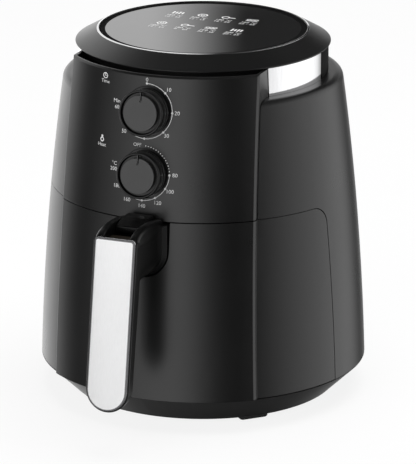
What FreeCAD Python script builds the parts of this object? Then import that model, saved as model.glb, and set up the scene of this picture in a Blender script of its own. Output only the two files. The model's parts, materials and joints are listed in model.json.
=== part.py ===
"""Round counter-top air fryer: a tapered housing on a vertical axis, a pull-out drawer with a lift-out
basket, two dials, and the heater, fans and motor that sit above the cooking chamber.
Millimetres, +Z up, the front faces -Y, and the origin is under the middle of the overall box."""
import FreeCAD, Part
import math
import os
from collections import namedtuple
from types import SimpleNamespace
import Sketcher
from FreeCAD import Placement, Rotation, Vector

SIZES = {
    # Housing: a gently bulging cone, drawn as one large arc turned about the vertical axis
    "body_base_radius": 129.9,
    "seam_height": 26.5,
    "side_curve_radius": 2200.0,
    "side_curve_drop": 46.5,
    "shoulder_height": 259.0,
    "shoulder_round": 6.0,
    "shell_wall": 2.6,
    "seam_gap": 0.4,
    # Split between the control panel and the drawer, and the drawer's side wings
    "split_height": 169.3,
    "split_gap": 0.7,
    "wing_setback": 33.0,
    "wing_corner_round": 14.0,
    # Raised front field that the panel and the drawer share
    "panel_step": 3.0,
    "panel_base_half": 84.8,
    "panel_top_half": 77.4,
    "panel_rise": 22.0,
    "panel_gap": 0.3,
    "panel_edge": 1.4,
    "panel_back": 60.0,
    "panel_valley": 7.0,
    "return_depth": 8.5,
    # Neck, top cover and top plate
    "neck_step": 11.6,
    "neck_wall": 2.4,
    "neck_exposed": 22.8,
    "cover_overhang": 2.2,
    "cover_slope_width": 16.9,
    "cover_slope_height": 10.6,
    "cover_wall": 2.4,
    "cover_skirt": 5.0,
    "plate_lip": 1.7,
    "plate_thickness": 3.0,
    "plate_sink": 0.7,
    "plate_groove": 2.2,
    # Base tray, feet and base screws
    "base_inset": 20.3,
    "foot_height": 4.0,
    "foot_length": 24.0,
    "foot_width": 13.0,
    "foot_inset": 12.6,
    "screw_inset": 25.6,
    "screw_radius": 2.0,
    "screw_length": 14.0,
    "screw_head_radius": 4.0,
    "screw_head": 1.8,
    "screw_boss": 5.0,
    "base_slot_start": 30.0,
    "base_slot_end": 66.0,
    "base_slot_width": 5.0,
    # Rear air outlet and cord gland
    "outlet_reach": 152.1,
    "outlet_width": 104.0,
    "outlet_height": 86.0,
    "outlet_level": 172.0,
    "outlet_round": 12.0,
    "outlet_slot": 4.0,
    "outlet_pitch": 9.0,
    "gland_level": 62.0,
    "gland_radius": 8.0,
    "gland_flange": 11.0,
    "gland_bore": 3.6,
    "gland_reach": 9.0,
    # Cooking chamber
    "floor_thickness": 2.0,
    "liner_gap": 5.5,
    "liner_wall": 1.4,
    "ceiling_gap": 2.9,
    "reflector_wall": 1.4,
    "reflector_flange": 0.8,
    "mouth_inset": 6.0,
    "reflector_flare": 10.0,
    "reflector_depth": 34.0,
    "guard_thickness": 1.4,
    "guard_eye": 24.0,
    "guard_bar": 4.0,
    "rail_width": 8.0,
    "rail_spacing": 110.0,
    "rail_rear": 76.0,
    # Heater
    "heater_tube": 3.2,
    "heater_inset": 8.0,
    "heater_pitch": 12.0,
    "heater_drop": 20.0,
    "heater_bend": 8.0,
    "heater_leg": 8.0,
    "bushing_radius": 6.0,
    "bushing_height": 7.0,
    # Motor and fans
    "shaft_radius": 4.0,
    "motor_radius": 36.0,
    "motor_share": 0.43,
    "motor_lift": 13.0,
    "bracket_thickness": 2.0,
    "bracket_radius": 48.0,
    "hot_fan_radius": 48.0,
    "hot_fan_depth": 10.0,
    "cool_fan_radius": 46.0,
    "cool_fan_share": 0.184,
    "fan_hub": 10.0,
    "blade_wall": 1.6,
    "fan_air": 3.4,
    # Dials
    "dial_balance": 0.576,
    "knob_radius": 17.4,
    "knob_flange": 18.2,
    "knob_flange_height": 2.6,
    "knob_height": 14.2,
    "knob_lift": 0.6,
    "knob_rim": 3.4,
    "cap_rise": 0.8,
    "cap_thickness": 3.6,
    "cap_clearance": 0.15,
    "pointer_width": 1.4,
    "pointer_length": 5.0,
    "pointer_depth": 0.8,
    "dial_recess_radius": 19.2,
    "dial_recess_depth": 1.6,
    "spindle_radius": 3.0,
    "bush_radius": 4.8,
    "running_clearance": 0.08,
    "timer_width": 36.0,
    "timer_depth": 28.0,
    "thermostat_width": 34.0,
    "thermostat_depth": 17.0,
    # Drawer, pan and basket
    "pan_gap": 7.0,
    "pan_taper": 4.0,
    "pan_drop": 29.8,
    "pan_wall": 1.6,
    "pan_rim": 4.0,
    "pan_lift": 3.0,
    "basket_gap": 4.0,
    "basket_taper": 7.0,
    "basket_wall": 1.5,
    "basket_lift": 8.1,
    "basket_slot": 3.6,
    "lining_gap": 4.0,
    "lining_wall": 1.6,
    "lining_angle": 124.0,
    "mount_half": 30.0,
    # Handle, guard and release button
    "grip_reach": 197.9,
    "grip_top_reach": 177.1,
    "grip_drop": 1.3,
    "grip_low": 37.6,
    "grip_width": 35.5,
    "grip_thick_top": 12.0,
    "grip_thick_low": 8.5,
    "grip_plate_margin": 2.0,
    "grip_plate_thickness": 1.8,
    "grip_edge_round": 1.2,
    "neck_depth": 39.6,
    "collar_width": 3.25,
    "slot_gap": 0.5,
    "collar_proud": 1.6,
    "collar_bevel": 2.6,
    "well_half": 13.4,
    "well_depth": 5.0,
    "guard_setback": 20.1,
    "guard_gap": 2.9,
    "guard_share": 0.44,
    "guard_rise": 7.4,
    "guard_travel": 13.0,
    "button_drop": 1.6,
    "button_height": 8.0,
    "button_travel": 3.0,
    "spring_radius": 3.6,
    "spring_wire": 0.45,
    "spring_length": 9.0,
    "strap_width": 24.0,
    "strap_wall": 2.0,
    "handle_screw_spacing": 14.0,
    "latch_near": 5.5,
    "latch_width": 5.0,
    "latch_thickness": 2.4,
    "latch_grip": 1.8,
    "latch_post": 8.0,
    "latch_rise": 15.0,
    "latch_ramp": 6.0,
    "latch_leg": 5.0,
    # Clearance between a moving piece and its guide, and between curved faces that lie together
    "slide_clearance": 0.3,
    "seat_clearance": 0.1,
}
FOOT_ANGLES = {"front_left": 225, "front_right": 315, "rear_left": 135, "rear_right": 45}
BASE_SLOTS = 12
HOT_FAN_BLADES = 10
COOL_FAN_BLADES = 7
BRACKET_LEGS = 4
OUTLET_SLOTS = 7
BASKET_SLOT_COUNTS = (8, 14, 20, 26)
GUARD_RINGS = 3
GUARD_SPOKES = 8
SPRING_TURNS = 6
FULL_TURN = 360.0
# How far a cut runs past what it cuts, a reach beyond the whole part, and how near counts as the same place
MARGIN = 5.0
FAR = 260.0
NEAR = 0.05

doc = FreeCAD.newDocument("AirFryer")
sheet = doc.addObject("Spreadsheet::Sheet", "Sizes")
for row, (alias, number) in enumerate(SIZES.items(), start=1):
    sheet.set(f"A{row}", alias.replace("_", " "))
    sheet.set(f"B{row}", str(number))
    sheet.setAlias(f"B{row}", alias)
doc.recompute()


class Size:
    """A number together with the spreadsheet expression that it comes from."""

    def __init__(self, value, text):
        self.value = float(value)
        self.text = text

    def joined(self, other, value, sign):
        return Size(value, f"({self.text} {sign} {other.text})")

    def __add__(self, other):
        other = as_size(other)
        return self.joined(other, self.value + other.value, "+")

    def __sub__(self, other):
        other = as_size(other)
        return self.joined(other, self.value - other.value, "-")

    def __mul__(self, other):
        other = as_size(other)
        return self.joined(other, self.value * other.value, "*")

    def __truediv__(self, other):
        other = as_size(other)
        return self.joined(other, self.value / other.value, "/")

    def __neg__(self):
        return Size(-self.value, f"(-1 * {self.text})")

    def __radd__(self, other):
        return as_size(other) + self

    def __rsub__(self, other):
        return as_size(other) - self

    __rmul__ = __mul__


def as_size(value):
    return value if isinstance(value, Size) else Size(value, str(value))


def root(size):
    return Size(math.sqrt(size.value), f"sqrt({size.text})")


d = SimpleNamespace(**{name: Size(number, f"Sizes.{name}") for name, number in SIZES.items()})
Curve = namedtuple("Curve", "x y cx cy turn")
Round = namedtuple("Round", "x y radius")

# Heights and the side's arc, which everything else is placed by
axis_shift = (d.grip_reach - d.outlet_reach) / 2
curve_rise = d.seam_height + d.side_curve_drop
curve_centre = d.body_base_radius - root(d.side_curve_radius * d.side_curve_radius - curve_rise * curve_rise)
cover_edge_height = d.shoulder_height + d.neck_exposed
cover_height = cover_edge_height + d.cover_slope_height
panel_top = d.shoulder_height + d.panel_rise


def side(level, offset=0):
    """Radius of the housing's bulging side at a height, moved outwards by an offset."""
    rise = level + d.side_curve_drop
    reach = d.side_curve_radius + offset
    return curve_centre + root(reach * reach - rise * rise)


def field_half(level):
    """Half width of the raised front field at a height; its sides lean in towards the top."""
    lean = (d.panel_base_half - d.panel_top_half) / (panel_top - d.seam_height)
    return d.panel_base_half - lean * (level - d.seam_height)


# Places that several pieces share, from the outside in and from the floor up
drawer_top = d.split_height - d.split_gap / 2
panel_low = d.split_height + d.split_gap / 2
drawer_low = d.seam_height + d.seam_gap
neck_radius = side(d.shoulder_height) - d.neck_step
cover_radius = neck_radius + d.cover_overhang
cover_lip_radius = cover_radius - d.cover_slope_width
plate_radius = cover_lip_radius - d.plate_lip - d.plate_groove
plate_top = cover_height - d.plate_sink
plate_seat = plate_top - d.plate_thickness
base_foot_radius = d.body_base_radius - d.base_inset
foot_circle = base_foot_radius - d.foot_inset
screw_circle = base_foot_radius - d.screw_inset
floor_top = d.seam_height - d.seam_gap * 2
liner_outer = side(d.split_height, -d.shell_wall) - d.liner_gap
liner_inner = liner_outer - d.liner_wall
ceiling_height = d.split_height + d.ceiling_gap

pan_radius = liner_inner - d.pan_gap - d.pan_rim
pan_floor = d.seam_height + d.pan_lift
pan_top = d.split_height - d.pan_drop
pan_height = pan_top - pan_floor
basket_rim = pan_top + d.seat_clearance
strap_low = basket_rim + d.basket_wall
lining_radius = pan_radius + d.pan_rim + d.lining_gap

reflector_mouth = pan_radius - d.mouth_inset
reflector_top_radius = reflector_mouth - d.reflector_flare
reflector_top = ceiling_height + d.reflector_depth
heater_radius = reflector_top_radius - d.heater_inset
heater_level = reflector_top - d.heater_drop
motor_low = reflector_top + d.motor_lift + d.bracket_thickness
motor_room = plate_seat - d.cover_wall - motor_low
motor_length = motor_room * d.motor_share
motor_top = motor_low + motor_length
cool_fan_depth = motor_room * d.cool_fan_share
shaft_hole = d.shaft_radius + d.running_clearance

# The timer hangs under the panel's top; the thermostat shares the rest with the chamber's ceiling
timer_level = panel_top - d.panel_valley - d.shell_wall - d.timer_width / 2
lowest_dial = ceiling_height + d.reflector_wall + d.thermostat_width / 2
thermostat_level = lowest_dial + (timer_level - d.knob_flange * 2 - lowest_dial) * d.dial_balance

grip_top = d.split_height - d.grip_drop
neck_low = grip_top - d.neck_depth
neck_root = lining_radius
slot_half = d.grip_width / 2 + d.collar_width + d.slot_gap
recess_floor = grip_top - d.well_depth
guard_top = grip_top + d.guard_rise
guard_reach = d.grip_top_reach - d.guard_setback
guard_rear = side(d.split_height, d.panel_step) + d.guard_gap
button_top = grip_top - d.button_drop
button_low = button_top - d.button_height
button_front = guard_reach + d.guard_travel
latch_low = pan_top - d.pan_wall - d.slide_clearance - d.latch_thickness
latch_back = guard_reach + d.button_travel
latch_front = latch_back + d.latch_post


def side_arc(radius, level, turn, mirrored=False):
    """The end of a stretch that follows the housing's side."""
    if mirrored:
        return Curve(-radius, level, -curve_centre, -d.side_curve_drop, turn)
    return Curve(radius, level, curve_centre, -d.side_curve_drop, turn)


def new_body(label):
    body = doc.addObject("PartDesign::Body", label)
    body.Label = label
    body.setExpression("Placement.Base.y", axis_shift.text)
    return body


def plane(body, role):
    return next(part for part in body.Origin.OriginFeatures if part.Role == role)


def number(value):
    return as_size(value).value


def hold(sketch, kind, segment, spot, value):
    """Tie one coordinate of a point to the sheet, or to the axis where it is nought."""
    if isinstance(value, (int, float)) and value == 0:
        axis = -2 if kind == "DistanceX" else -1
        sketch.addConstraint(Sketcher.Constraint("PointOnObject", segment, spot, axis))
        return
    value = as_size(value)
    index = sketch.addConstraint(Sketcher.Constraint(kind, -1, 1, segment, spot, value.value))
    sketch.setExpression(f"Constraints[{index}]", value.text)


def add_outline(sketch, corners):
    """Draw one closed outline; a Curve corner is reached by an arc about the given centre."""
    ends = []
    for here, after in zip(corners, corners[1:] + corners[:1]):
        start = Vector(number(here[0]), number(here[1]), 0)
        stop = Vector(number(after[0]), number(after[1]), 0)
        if isinstance(after, Curve):
            centre = Vector(number(after.cx), number(after.cy), 0)
            circle = Part.Circle(centre, Vector(0, 0, 1), (start - centre).Length)
            first, last = (start, stop) if after.turn > 0 else (stop, start)
            angles = [math.atan2(p.y - centre.y, p.x - centre.x) for p in (first, last)]
            if angles[1] < angles[0]:
                angles[1] += 2 * math.pi
            segment = sketch.addGeometry(Part.ArcOfCircle(circle, *angles), False)
            ends.append((segment, 1, 2) if after.turn > 0 else (segment, 2, 1))
        else:
            ends.append((sketch.addGeometry(Part.LineSegment(start, stop), False), 1, 2))
    for index, (corner, (segment, first, last)) in enumerate(zip(corners, ends)):
        before = ends[index - 1]
        sketch.addConstraint(Sketcher.Constraint("Coincident", before[0], before[2], segment, first))
        hold(sketch, "DistanceX", segment, first, corner[0])
        hold(sketch, "DistanceY", segment, first, corner[1])
    for index, corner in enumerate(corners):
        if isinstance(corner, Curve):
            segment = ends[index - 1][0]
            before = corners[index - 1]
            wide = abs(number(corner.x) - number(before[0])) > abs(number(corner.y) - number(before[1]))
            kind = "DistanceY" if wide else "DistanceX"
            hold(sketch, kind, segment, 3, corner.cy if wide else corner.cx)


def draw(body, role, *outlines, level=0):
    """Sketch outlines and circles on one of the body's own planes, raised along its normal by level."""
    sketch = body.newObject("Sketcher::SketchObject", f"{body.Label}_sketch")
    sketch.AttachmentSupport = [(plane(body, role), "")]
    sketch.MapMode = "FlatFace"
    level = as_size(level)
    if level.value:
        sketch.setExpression("AttachmentOffset.Base.z", level.text)
    for outline in outlines:
        if isinstance(outline, Round):
            circle = Part.Circle(Vector(number(outline.x), number(outline.y), 0), Vector(0, 0, 1),
                                 number(outline.radius))
            segment = sketch.addGeometry(circle, False)
            hold(sketch, "DistanceX", segment, 3, outline.x)
            hold(sketch, "DistanceY", segment, 3, outline.y)
            radius = as_size(outline.radius)
            index = sketch.addConstraint(Sketcher.Constraint("Radius", segment, radius.value))
            sketch.setExpression(f"Constraints[{index}]", radius.text)
        else:
            add_outline(sketch, list(outline))
    doc.recompute()
    return sketch


def feature(body, kind, sketch, **sizes):
    """Add a feature to a body; sizes are bound to the sheet and flags are set as they are."""
    made = body.newObject(f"PartDesign::{kind}", f"{body.Label}_{kind.lower()}")
    made.Profile = sketch
    for name, value in sizes.items():
        if isinstance(value, Size):
            made.setExpression(name, value.text)
        else:
            setattr(made, name, value)
    sketch.Visibility = False
    doc.recompute()
    return made


def pad(body, sketch, length, **flags):
    return feature(body, "Pad", sketch, Length=as_size(length), **flags)


def pocket(body, sketch, length, **flags):
    return feature(body, "Pocket", sketch, Length=as_size(length), **flags)


def turned(body, sketch, kind="Revolution", angle=FULL_TURN):
    return feature(body, kind, sketch, ReferenceAxis=(sketch, ["V_Axis"]), Midplane=True,
                   Angle=as_size(angle))


def around(body, original, count):
    """Repeat a feature round the body's vertical axis."""
    pattern = body.newObject("PartDesign::PolarPattern", f"{body.Label}_pattern")
    pattern.Originals = [original]
    pattern.Axis = (plane(body, "Z_Axis"), [""])
    pattern.Angle = FULL_TURN
    pattern.Occurrences = count
    body.Tip = pattern
    doc.recompute()
    return pattern


def dressed(body, kind, size, wanted):
    """Round or bevel those edges of a body that pass a test."""
    base = body.Tip
    names = [f"Edge{i}" for i, edge in enumerate(base.Shape.Edges, start=1) if wanted(edge)]
    made = body.newObject(f"PartDesign::{kind}", f"{body.Label}_{kind.lower()}")
    made.Base = (base, names)
    made.setExpression("Radius" if kind == "Fillet" else "Size", size.text)
    body.Tip = made
    doc.recompute()
    return made


def cut(label, base, *tools):
    node = doc.addObject("Part::Cut", label)
    node.Base = base
    node.Tool = tools[0] if len(tools) == 1 else joined(f"{label}_tools", *tools)
    doc.recompute()
    return node


def joined(label, *pieces):
    node = doc.addObject("Part::MultiFuse", label)
    node.Shapes = list(pieces)
    doc.recompute()
    return node


def box_outline(left, right, low, high):
    return [(left, low), (right, low), (right, high), (left, high)]


def rounded_outline(half_width, low, high, radius):
    """A rectangle about the vertical axis with four round corners."""
    near, far = radius - half_width, half_width - radius
    return [
        (near, low), (far, low), Curve(half_width, low + radius, far, low + radius, 1),
        (half_width, high - radius), Curve(far, high, far, high - radius, 1),
        (near, high), Curve(-half_width, high - radius, near, high - radius, 1),
        (-half_width, low + radius), Curve(near, low, near, low + radius, 1),
    ][1:]


def arch_outline(half_width, low, high):
    """An upright strip with a half-round lower end."""
    centre = low + half_width
    return [(half_width, centre), (half_width, high), (-half_width, high), (-half_width, centre),
            Curve(half_width, centre, 0, centre, 1)][1:]


def wedge(label, low, high, offset, inset, back, bevelled=None):
    """A block as wide as the raised front field whose front follows the housing's side."""
    body = new_body(label)
    half_low, half_high = field_half(low) - inset, field_half(high) - inset
    trapezoid = [(-half_low, low), (half_low, low), (half_high, high), (-half_high, high)]
    pad(body, draw(body, "XZ_Plane", trapezoid, level=back), FAR - back)
    under, over = low - MARGIN, high + MARGIN
    outside = [
        (-side(under, offset), under), side_arc(side(over, offset), over, -1, mirrored=True),
        (-FAR * 2, over), (-FAR * 2, under),
    ]
    turned(body, draw(body, "YZ_Plane", outside), "Groove")
    if bevelled:
        dressed(body, "Chamfer", d.panel_edge, lambda edge: bevelled(edge.BoundBox, number(back)))
    return body


def at_front_side(box, back):
    """True for an upright edge at the front of a block that starts at the given distance from the axis."""
    return box.YMax < -back - MARGIN and box.ZLength > MARGIN


def at_front_side_or_top(box, back):
    """True for those edges and for the curved upper edge."""
    at_top = box.YMin < -back - MARGIN and box.ZMin > panel_top.value - NEAR
    return at_front_side(box, back) or at_top and box.YLength > MARGIN and box.XLength > MARGIN * 2


def front_window(body, low):
    """Cut away what the raised front field takes up above a height."""
    high = cover_height
    half_low, half_high = field_half(low) + d.panel_gap, field_half(high) + d.panel_gap
    opening = [(-half_low, low), (half_low, low), (half_high, high), (-half_high, high)]
    pocket(body, draw(body, "XZ_Plane", opening), FAR, Reversed=True)


def rear_housing():
    body = new_body("rear_housing")
    inner_top = d.shoulder_height - d.shell_wall
    seat = neck_radius - d.neck_wall * 2
    inner = -d.shell_wall
    shell = [
        (side(d.seam_height), d.seam_height), side_arc(side(d.shoulder_height), d.shoulder_height, 1),
        (seat, d.shoulder_height), (seat, inner_top), (side(inner_top, inner), inner_top),
        side_arc(side(d.seam_height, inner), d.seam_height, -1),
    ]
    turned(body, draw(body, "YZ_Plane", shell))
    brim = side(d.shoulder_height).value
    dressed(body, "Fillet", d.shoulder_round, lambda edge: is_ring(edge, brim, d.shoulder_height.value))
    front_window(body, d.split_height - MARGIN)
    corner, low = d.wing_corner_round, d.seam_height - MARGIN
    doorway = [
        (-FAR, low), (-d.wing_setback, low), (-d.wing_setback, d.split_height - corner),
        Curve(-d.wing_setback - corner, d.split_height, -d.wing_setback - corner, d.split_height - corner, 1),
        (-FAR, d.split_height),
    ]
    pocket(body, draw(body, "YZ_Plane", doorway), FAR * 2, Midplane=True)
    half = d.outlet_width / 2 - d.outlet_round
    window = box_outline(-half, half, d.outlet_level - d.outlet_height / 2 + d.outlet_round,
                         d.outlet_level + d.outlet_height / 2 - d.outlet_round)
    pocket(body, draw(body, "XZ_Plane", window), FAR)
    gland = Round(0, d.gland_level, d.gland_radius + d.seat_clearance)
    pocket(body, draw(body, "XZ_Plane", gland), FAR)
    return body


def is_ring(edge, radius, level):
    """True for a circle about the vertical axis with this radius at this height."""
    curve = edge.Curve
    if not isinstance(curve, Part.Circle):
        return False
    return abs(curve.Radius - radius) < NEAR and abs(curve.Center.z - level) < NEAR


def tilt(level):
    """Angle in degrees by which the panel leans back at a height."""
    rise = level.value + SIZES["side_curve_drop"]
    return math.degrees(math.asin(rise / (SIZES["side_curve_radius"] + SIZES["panel_step"])))


def on_dial(piece, level):
    """Stand a piece on the panel at a dial's height, with its own Z axis pointing out of the panel."""
    piece.Placement = Placement(Vector(0, 0, 0), Rotation(Vector(1, 0, 0), 90 - tilt(level)))
    piece.setExpression("Placement.Base.y", (axis_shift - side(level, d.panel_step)).text)
    piece.setExpression("Placement.Base.z", level.text)
    return piece


def dial_body(label, level):
    return on_dial(doc.addObject("PartDesign::Body", label), level)


def control_panel():
    step = d.panel_step
    valley = panel_top - d.panel_valley
    outer = wedge("panel_outer", panel_low, panel_top, step, 0, d.panel_back, at_front_side_or_top)
    front = step - d.shell_wall
    inside = wedge("panel_inside", panel_low - MARGIN, valley - d.shell_wall, front, d.shell_wall,
                   d.panel_back - MARGIN)
    groove = wedge("panel_groove", valley, panel_top + MARGIN, front, d.shell_wall, d.panel_back - MARGIN)
    # The side walls reach back to the neck only above the shoulder; lower down they are short returns
    relief = new_body("panel_relief")
    low, high = panel_low - MARGIN, d.shoulder_height - d.shoulder_round * 2
    reach_low = root(side(low, step) * side(low, step) - field_half(low) * field_half(low)) - d.return_depth
    reach_high = root(side(high, step) * side(high, step) - field_half(high) * field_half(high))
    profile = [(0, low), (-reach_low, low), (d.return_depth - reach_high, high), (0, high)]
    pad(relief, draw(relief, "YZ_Plane", profile), FAR * 2, Midplane=True)
    # A shallow dish and a hole for the threaded bush at each dial
    tools = [inside, groove, relief]
    for name, level in (("timer", timer_level), ("thermostat", thermostat_level)):
        dish = dial_body(f"{name}_dish", level)
        disc = Round(0, 0, d.dial_recess_radius)
        pad(dish, draw(dish, "XY_Plane", disc, level=-d.dial_recess_depth), MARGIN)
        hole = Round(0, 0, d.bush_radius + d.seat_clearance)
        pad(dish, draw(dish, "XY_Plane", hole, level=-MARGIN * 2), MARGIN * 2)
        tools.append(dish)
    return cut("control_panel", outer, *tools)


def neck_band():
    body = new_body("neck_band")
    inner = neck_radius - d.neck_wall
    ring = box_outline(inner, neck_radius, d.shoulder_height, cover_edge_height)
    turned(body, draw(body, "YZ_Plane", ring))
    front_window(body, d.shoulder_height - MARGIN)
    return body


def top_cover():
    body = new_body("top_cover")
    pocket_radius = plate_radius + d.plate_groove
    skirt_out = neck_radius - d.neck_wall - d.slide_clearance
    skirt_in = skirt_out - d.cover_wall
    edge, lip = cover_edge_height, cover_edge_height + d.cover_wall / 2
    under = plate_seat - d.cover_wall
    profile = [
        (0, under), (skirt_in, under), (skirt_in, edge - d.cover_skirt), (skirt_out, edge - d.cover_skirt),
        (skirt_out, edge), (cover_radius - d.cover_wall / 2, edge),
        Curve(cover_radius, lip, cover_radius - d.cover_wall / 2, lip, 1),
        (cover_lip_radius, cover_height), (pocket_radius, cover_height), (pocket_radius, plate_seat),
        (0, plate_seat),
    ]
    turned(body, draw(body, "YZ_Plane", profile))
    return body


def top_plate():
    body = new_body("top_plate")
    pad(body, draw(body, "XY_Plane", Round(0, 0, plate_radius), level=plate_seat), d.plate_thickness)
    dressed(body, "Fillet", d.plate_sink, lambda edge: is_ring(edge, plate_radius.value, plate_top.value))
    return body


def base_tray():
    body = new_body("base_tray")
    wall, low = d.shell_wall, d.foot_height
    rim = d.seam_height - d.seam_gap
    rim_radius = side(d.seam_height)
    profile = [
        (0, low), (base_foot_radius - wall, low), (base_foot_radius, low + wall), (rim_radius, rim),
        (rim_radius - wall, rim), (base_foot_radius - wall * 2, low + wall), (0, low + wall),
    ]
    turned(body, draw(body, "YZ_Plane", profile))
    half = d.base_slot_width / 2
    start, end = d.base_slot_start, d.base_slot_end
    slot = [(end, half), Curve(end, -half, end, 0, -1), (start, -half), Curve(start, half, start, 0, -1)]
    slots = pocket(body, draw(body, "XY_Plane", slot), FAR, Midplane=True)
    around(body, slots, BASE_SLOTS)
    holes = [Round(x, y, d.screw_radius + d.seat_clearance) for x, y in screw_places()]
    pocket(body, draw(body, "XY_Plane", *holes), FAR, Midplane=True)
    return body


def foot(name, angle):
    body = new_body(f"foot_{name}")
    low, high = foot_circle - d.foot_width / 2, foot_circle + d.foot_width / 2
    outline = rounded_outline(d.foot_length / 2, low, high, d.foot_width / 4)
    pad(body, draw(body, "XY_Plane", outline), d.foot_height)
    dressed(body, "Chamfer", d.foot_height / 4, lambda edge: edge.BoundBox.ZMax < NEAR)
    body.Placement = Placement(Vector(0, 0, 0), Rotation(Vector(0, 0, 1), angle - 90))
    body.setExpression("Placement.Base.y", axis_shift.text)
    return body


def screw(label, length, turn, x, y, z):
    """A pan-head screw with its head at the place given and its shank along its own Z axis."""
    body = doc.addObject("PartDesign::Body", label)
    profile = [
        (0, -d.screw_head), (d.screw_head_radius, -d.screw_head), (d.screw_head_radius, 0),
        (d.screw_radius, 0), (d.screw_radius, length), (0, length),
    ]
    turned(body, draw(body, "XZ_Plane", profile))
    body.Placement = Placement(Vector(0, 0, 0), Rotation(Vector(1, 0, 0), turn))
    for letter, place in zip("xyz", (x, y, z)):
        body.setExpression(f"Placement.Base.{letter}", as_size(place).text)
    return body


def screw_places():
    """Where the base screws stand, as (x, y) from the axis, midway between the feet."""
    midway = FULL_TURN / len(FOOT_ANGLES) / 2
    angles = [math.radians(angle + midway) for angle in FOOT_ANGLES.values()]
    return [(screw_circle * round(math.cos(a)), screw_circle * round(math.sin(a))) for a in angles]


def base_screws():
    """The screws that hold the tray up to the bosses under the floor plate."""
    screws = [
        screw(f"base_screw_{index}", d.screw_length, 0, x, y + axis_shift, d.foot_height)
        for index, (x, y) in enumerate(screw_places())
    ]
    group = doc.addObject("Part::Compound", "base_screws")
    group.Links = screws
    doc.recompute()
    return group


def rear_outlet():
    body = new_body("rear_outlet")
    low, high = d.outlet_level - d.outlet_height / 2, d.outlet_level + d.outlet_height / 2
    half, wall = d.outlet_width / 2, d.shell_wall
    rim = rounded_outline(half, low, high, d.outlet_round)
    pad(body, draw(body, "XZ_Plane", rim), d.outlet_reach, Reversed=True)
    back = d.outlet_reach.value - NEAR
    dressed(body, "Chamfer", d.outlet_round / 2, lambda edge: edge.BoundBox.YMin > back)
    hollow = rounded_outline(half - wall, low + wall, high - wall, d.outlet_round - wall)
    pocket(body, draw(body, "XZ_Plane", hollow), d.outlet_reach - d.outlet_round / 2 - wall)
    inner_low, inner_high = low - MARGIN, high + MARGIN
    gap = d.seat_clearance
    inside = [
        (0, inner_low), (side(inner_low, gap), inner_low), side_arc(side(inner_high, gap), inner_high, 1),
        (0, inner_high),
    ]
    turned(body, draw(body, "YZ_Plane", inside), "Groove")
    slot_half = half - d.outlet_round * 1.5
    first = d.outlet_level - d.outlet_pitch * (OUTLET_SLOTS - 1) / 2
    slots = [
        box_outline(-slot_half, slot_half, first + d.outlet_pitch * i - d.outlet_slot / 2,
                    first + d.outlet_pitch * i + d.outlet_slot / 2)
        for i in range(OUTLET_SLOTS)
    ]
    pocket(body, draw(body, "XZ_Plane", *slots), FAR)
    return body


def cord_gland():
    """The bush in the rear wall that a lead passes through."""
    body = new_body("cord_gland")
    wall_out = side(d.gland_level - d.gland_flange)
    inner = wall_out - d.gland_reach
    tube = Round(0, d.gland_level, d.gland_radius)
    pad(body, draw(body, "XZ_Plane", tube, level=-inner), d.gland_reach * 2, Reversed=True)
    flange = Round(0, d.gland_level, d.gland_flange)
    pad(body, draw(body, "XZ_Plane", flange, level=-wall_out - d.seat_clearance), d.gland_reach / 4,
        Reversed=True)
    pocket(body, draw(body, "XZ_Plane", Round(0, d.gland_level, d.gland_bore)), FAR)
    return body


def floor_plate():
    body = new_body("floor_plate")
    low = floor_top - d.floor_thickness
    tray_floor = d.foot_height + d.shell_wall
    rim = d.seam_height - d.seam_gap
    slope = (side(d.seam_height) - base_foot_radius) / (rim - tray_floor)
    inner = side(d.seam_height) - d.shell_wall * 2 - slope * (rim - low)
    pad(body, draw(body, "XY_Plane", Round(0, 0, inner), level=low), d.floor_thickness)
    # Bosses that stand on the tray and take its screws
    places = screw_places()
    bosses = [Round(x, y, d.screw_boss) for x, y in places]
    pad(body, draw(body, "XY_Plane", *bosses, level=tray_floor), low - tray_floor)
    holes = [Round(x, y, d.screw_radius + d.seat_clearance) for x, y in places]
    pocket(body, draw(body, "XY_Plane", *holes, level=d.foot_height), d.screw_length + d.seat_clearance,
           Reversed=True)
    return body


def drawer_rail(name, way):
    body = new_body(f"rail_{name}")
    centre = d.rail_spacing / 2 * way
    outline = box_outline(centre - d.rail_width / 2, centre + d.rail_width / 2, d.split_gap - d.wing_setback,
                          d.rail_rear)
    pad(body, draw(body, "XY_Plane", outline, level=floor_top), pan_floor - d.slide_clearance - floor_top)
    return body


def chamber_liner():
    """The U-shaped metal wall round the cooking chamber, open at the front for the drawer."""
    body = new_body("chamber_liner")
    front = d.liner_wall - d.wing_setback
    outline = [
        (liner_outer, front), (liner_outer, 0), Curve(-liner_outer, 0, 0, 0, 1), (-liner_outer, front),
        (-liner_inner, front), (-liner_inner, 0), Curve(liner_inner, 0, 0, 0, -1), (liner_inner, front),
    ]
    pad(body, draw(body, "XY_Plane", outline, level=floor_top), ceiling_height - floor_top)
    return body


def reflector_radius(level):
    """Inner radius of the reflector's sloping side at a height."""
    slope = (reflector_mouth - reflector_top_radius) / d.reflector_depth
    return reflector_mouth - slope * (level - ceiling_height)


def heater_ends():
    """Where the heater's two ends come up, as (x, y)."""
    return (heater_radius, 0), (d.heater_pitch * 1.5 - heater_radius, -d.heater_bend)


def heat_reflector():
    body = new_body("heat_reflector")
    wall, low = d.reflector_wall, ceiling_height
    flange = liner_outer + d.reflector_flange
    profile = [
        (shaft_hole + wall, reflector_top), (reflector_top_radius + wall, reflector_top),
        (reflector_mouth + wall, low + wall), (flange, low + wall), (flange, low), (reflector_mouth, low),
        (reflector_top_radius, reflector_top - wall), (shaft_hole + wall, reflector_top - wall),
    ]
    turned(body, draw(body, "YZ_Plane", profile))
    holes = [Round(x, y, d.bushing_radius - wall) for x, y in heater_ends()]
    pocket(body, draw(body, "XY_Plane", *holes, level=reflector_top + MARGIN), MARGIN * 3)
    return body


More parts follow.
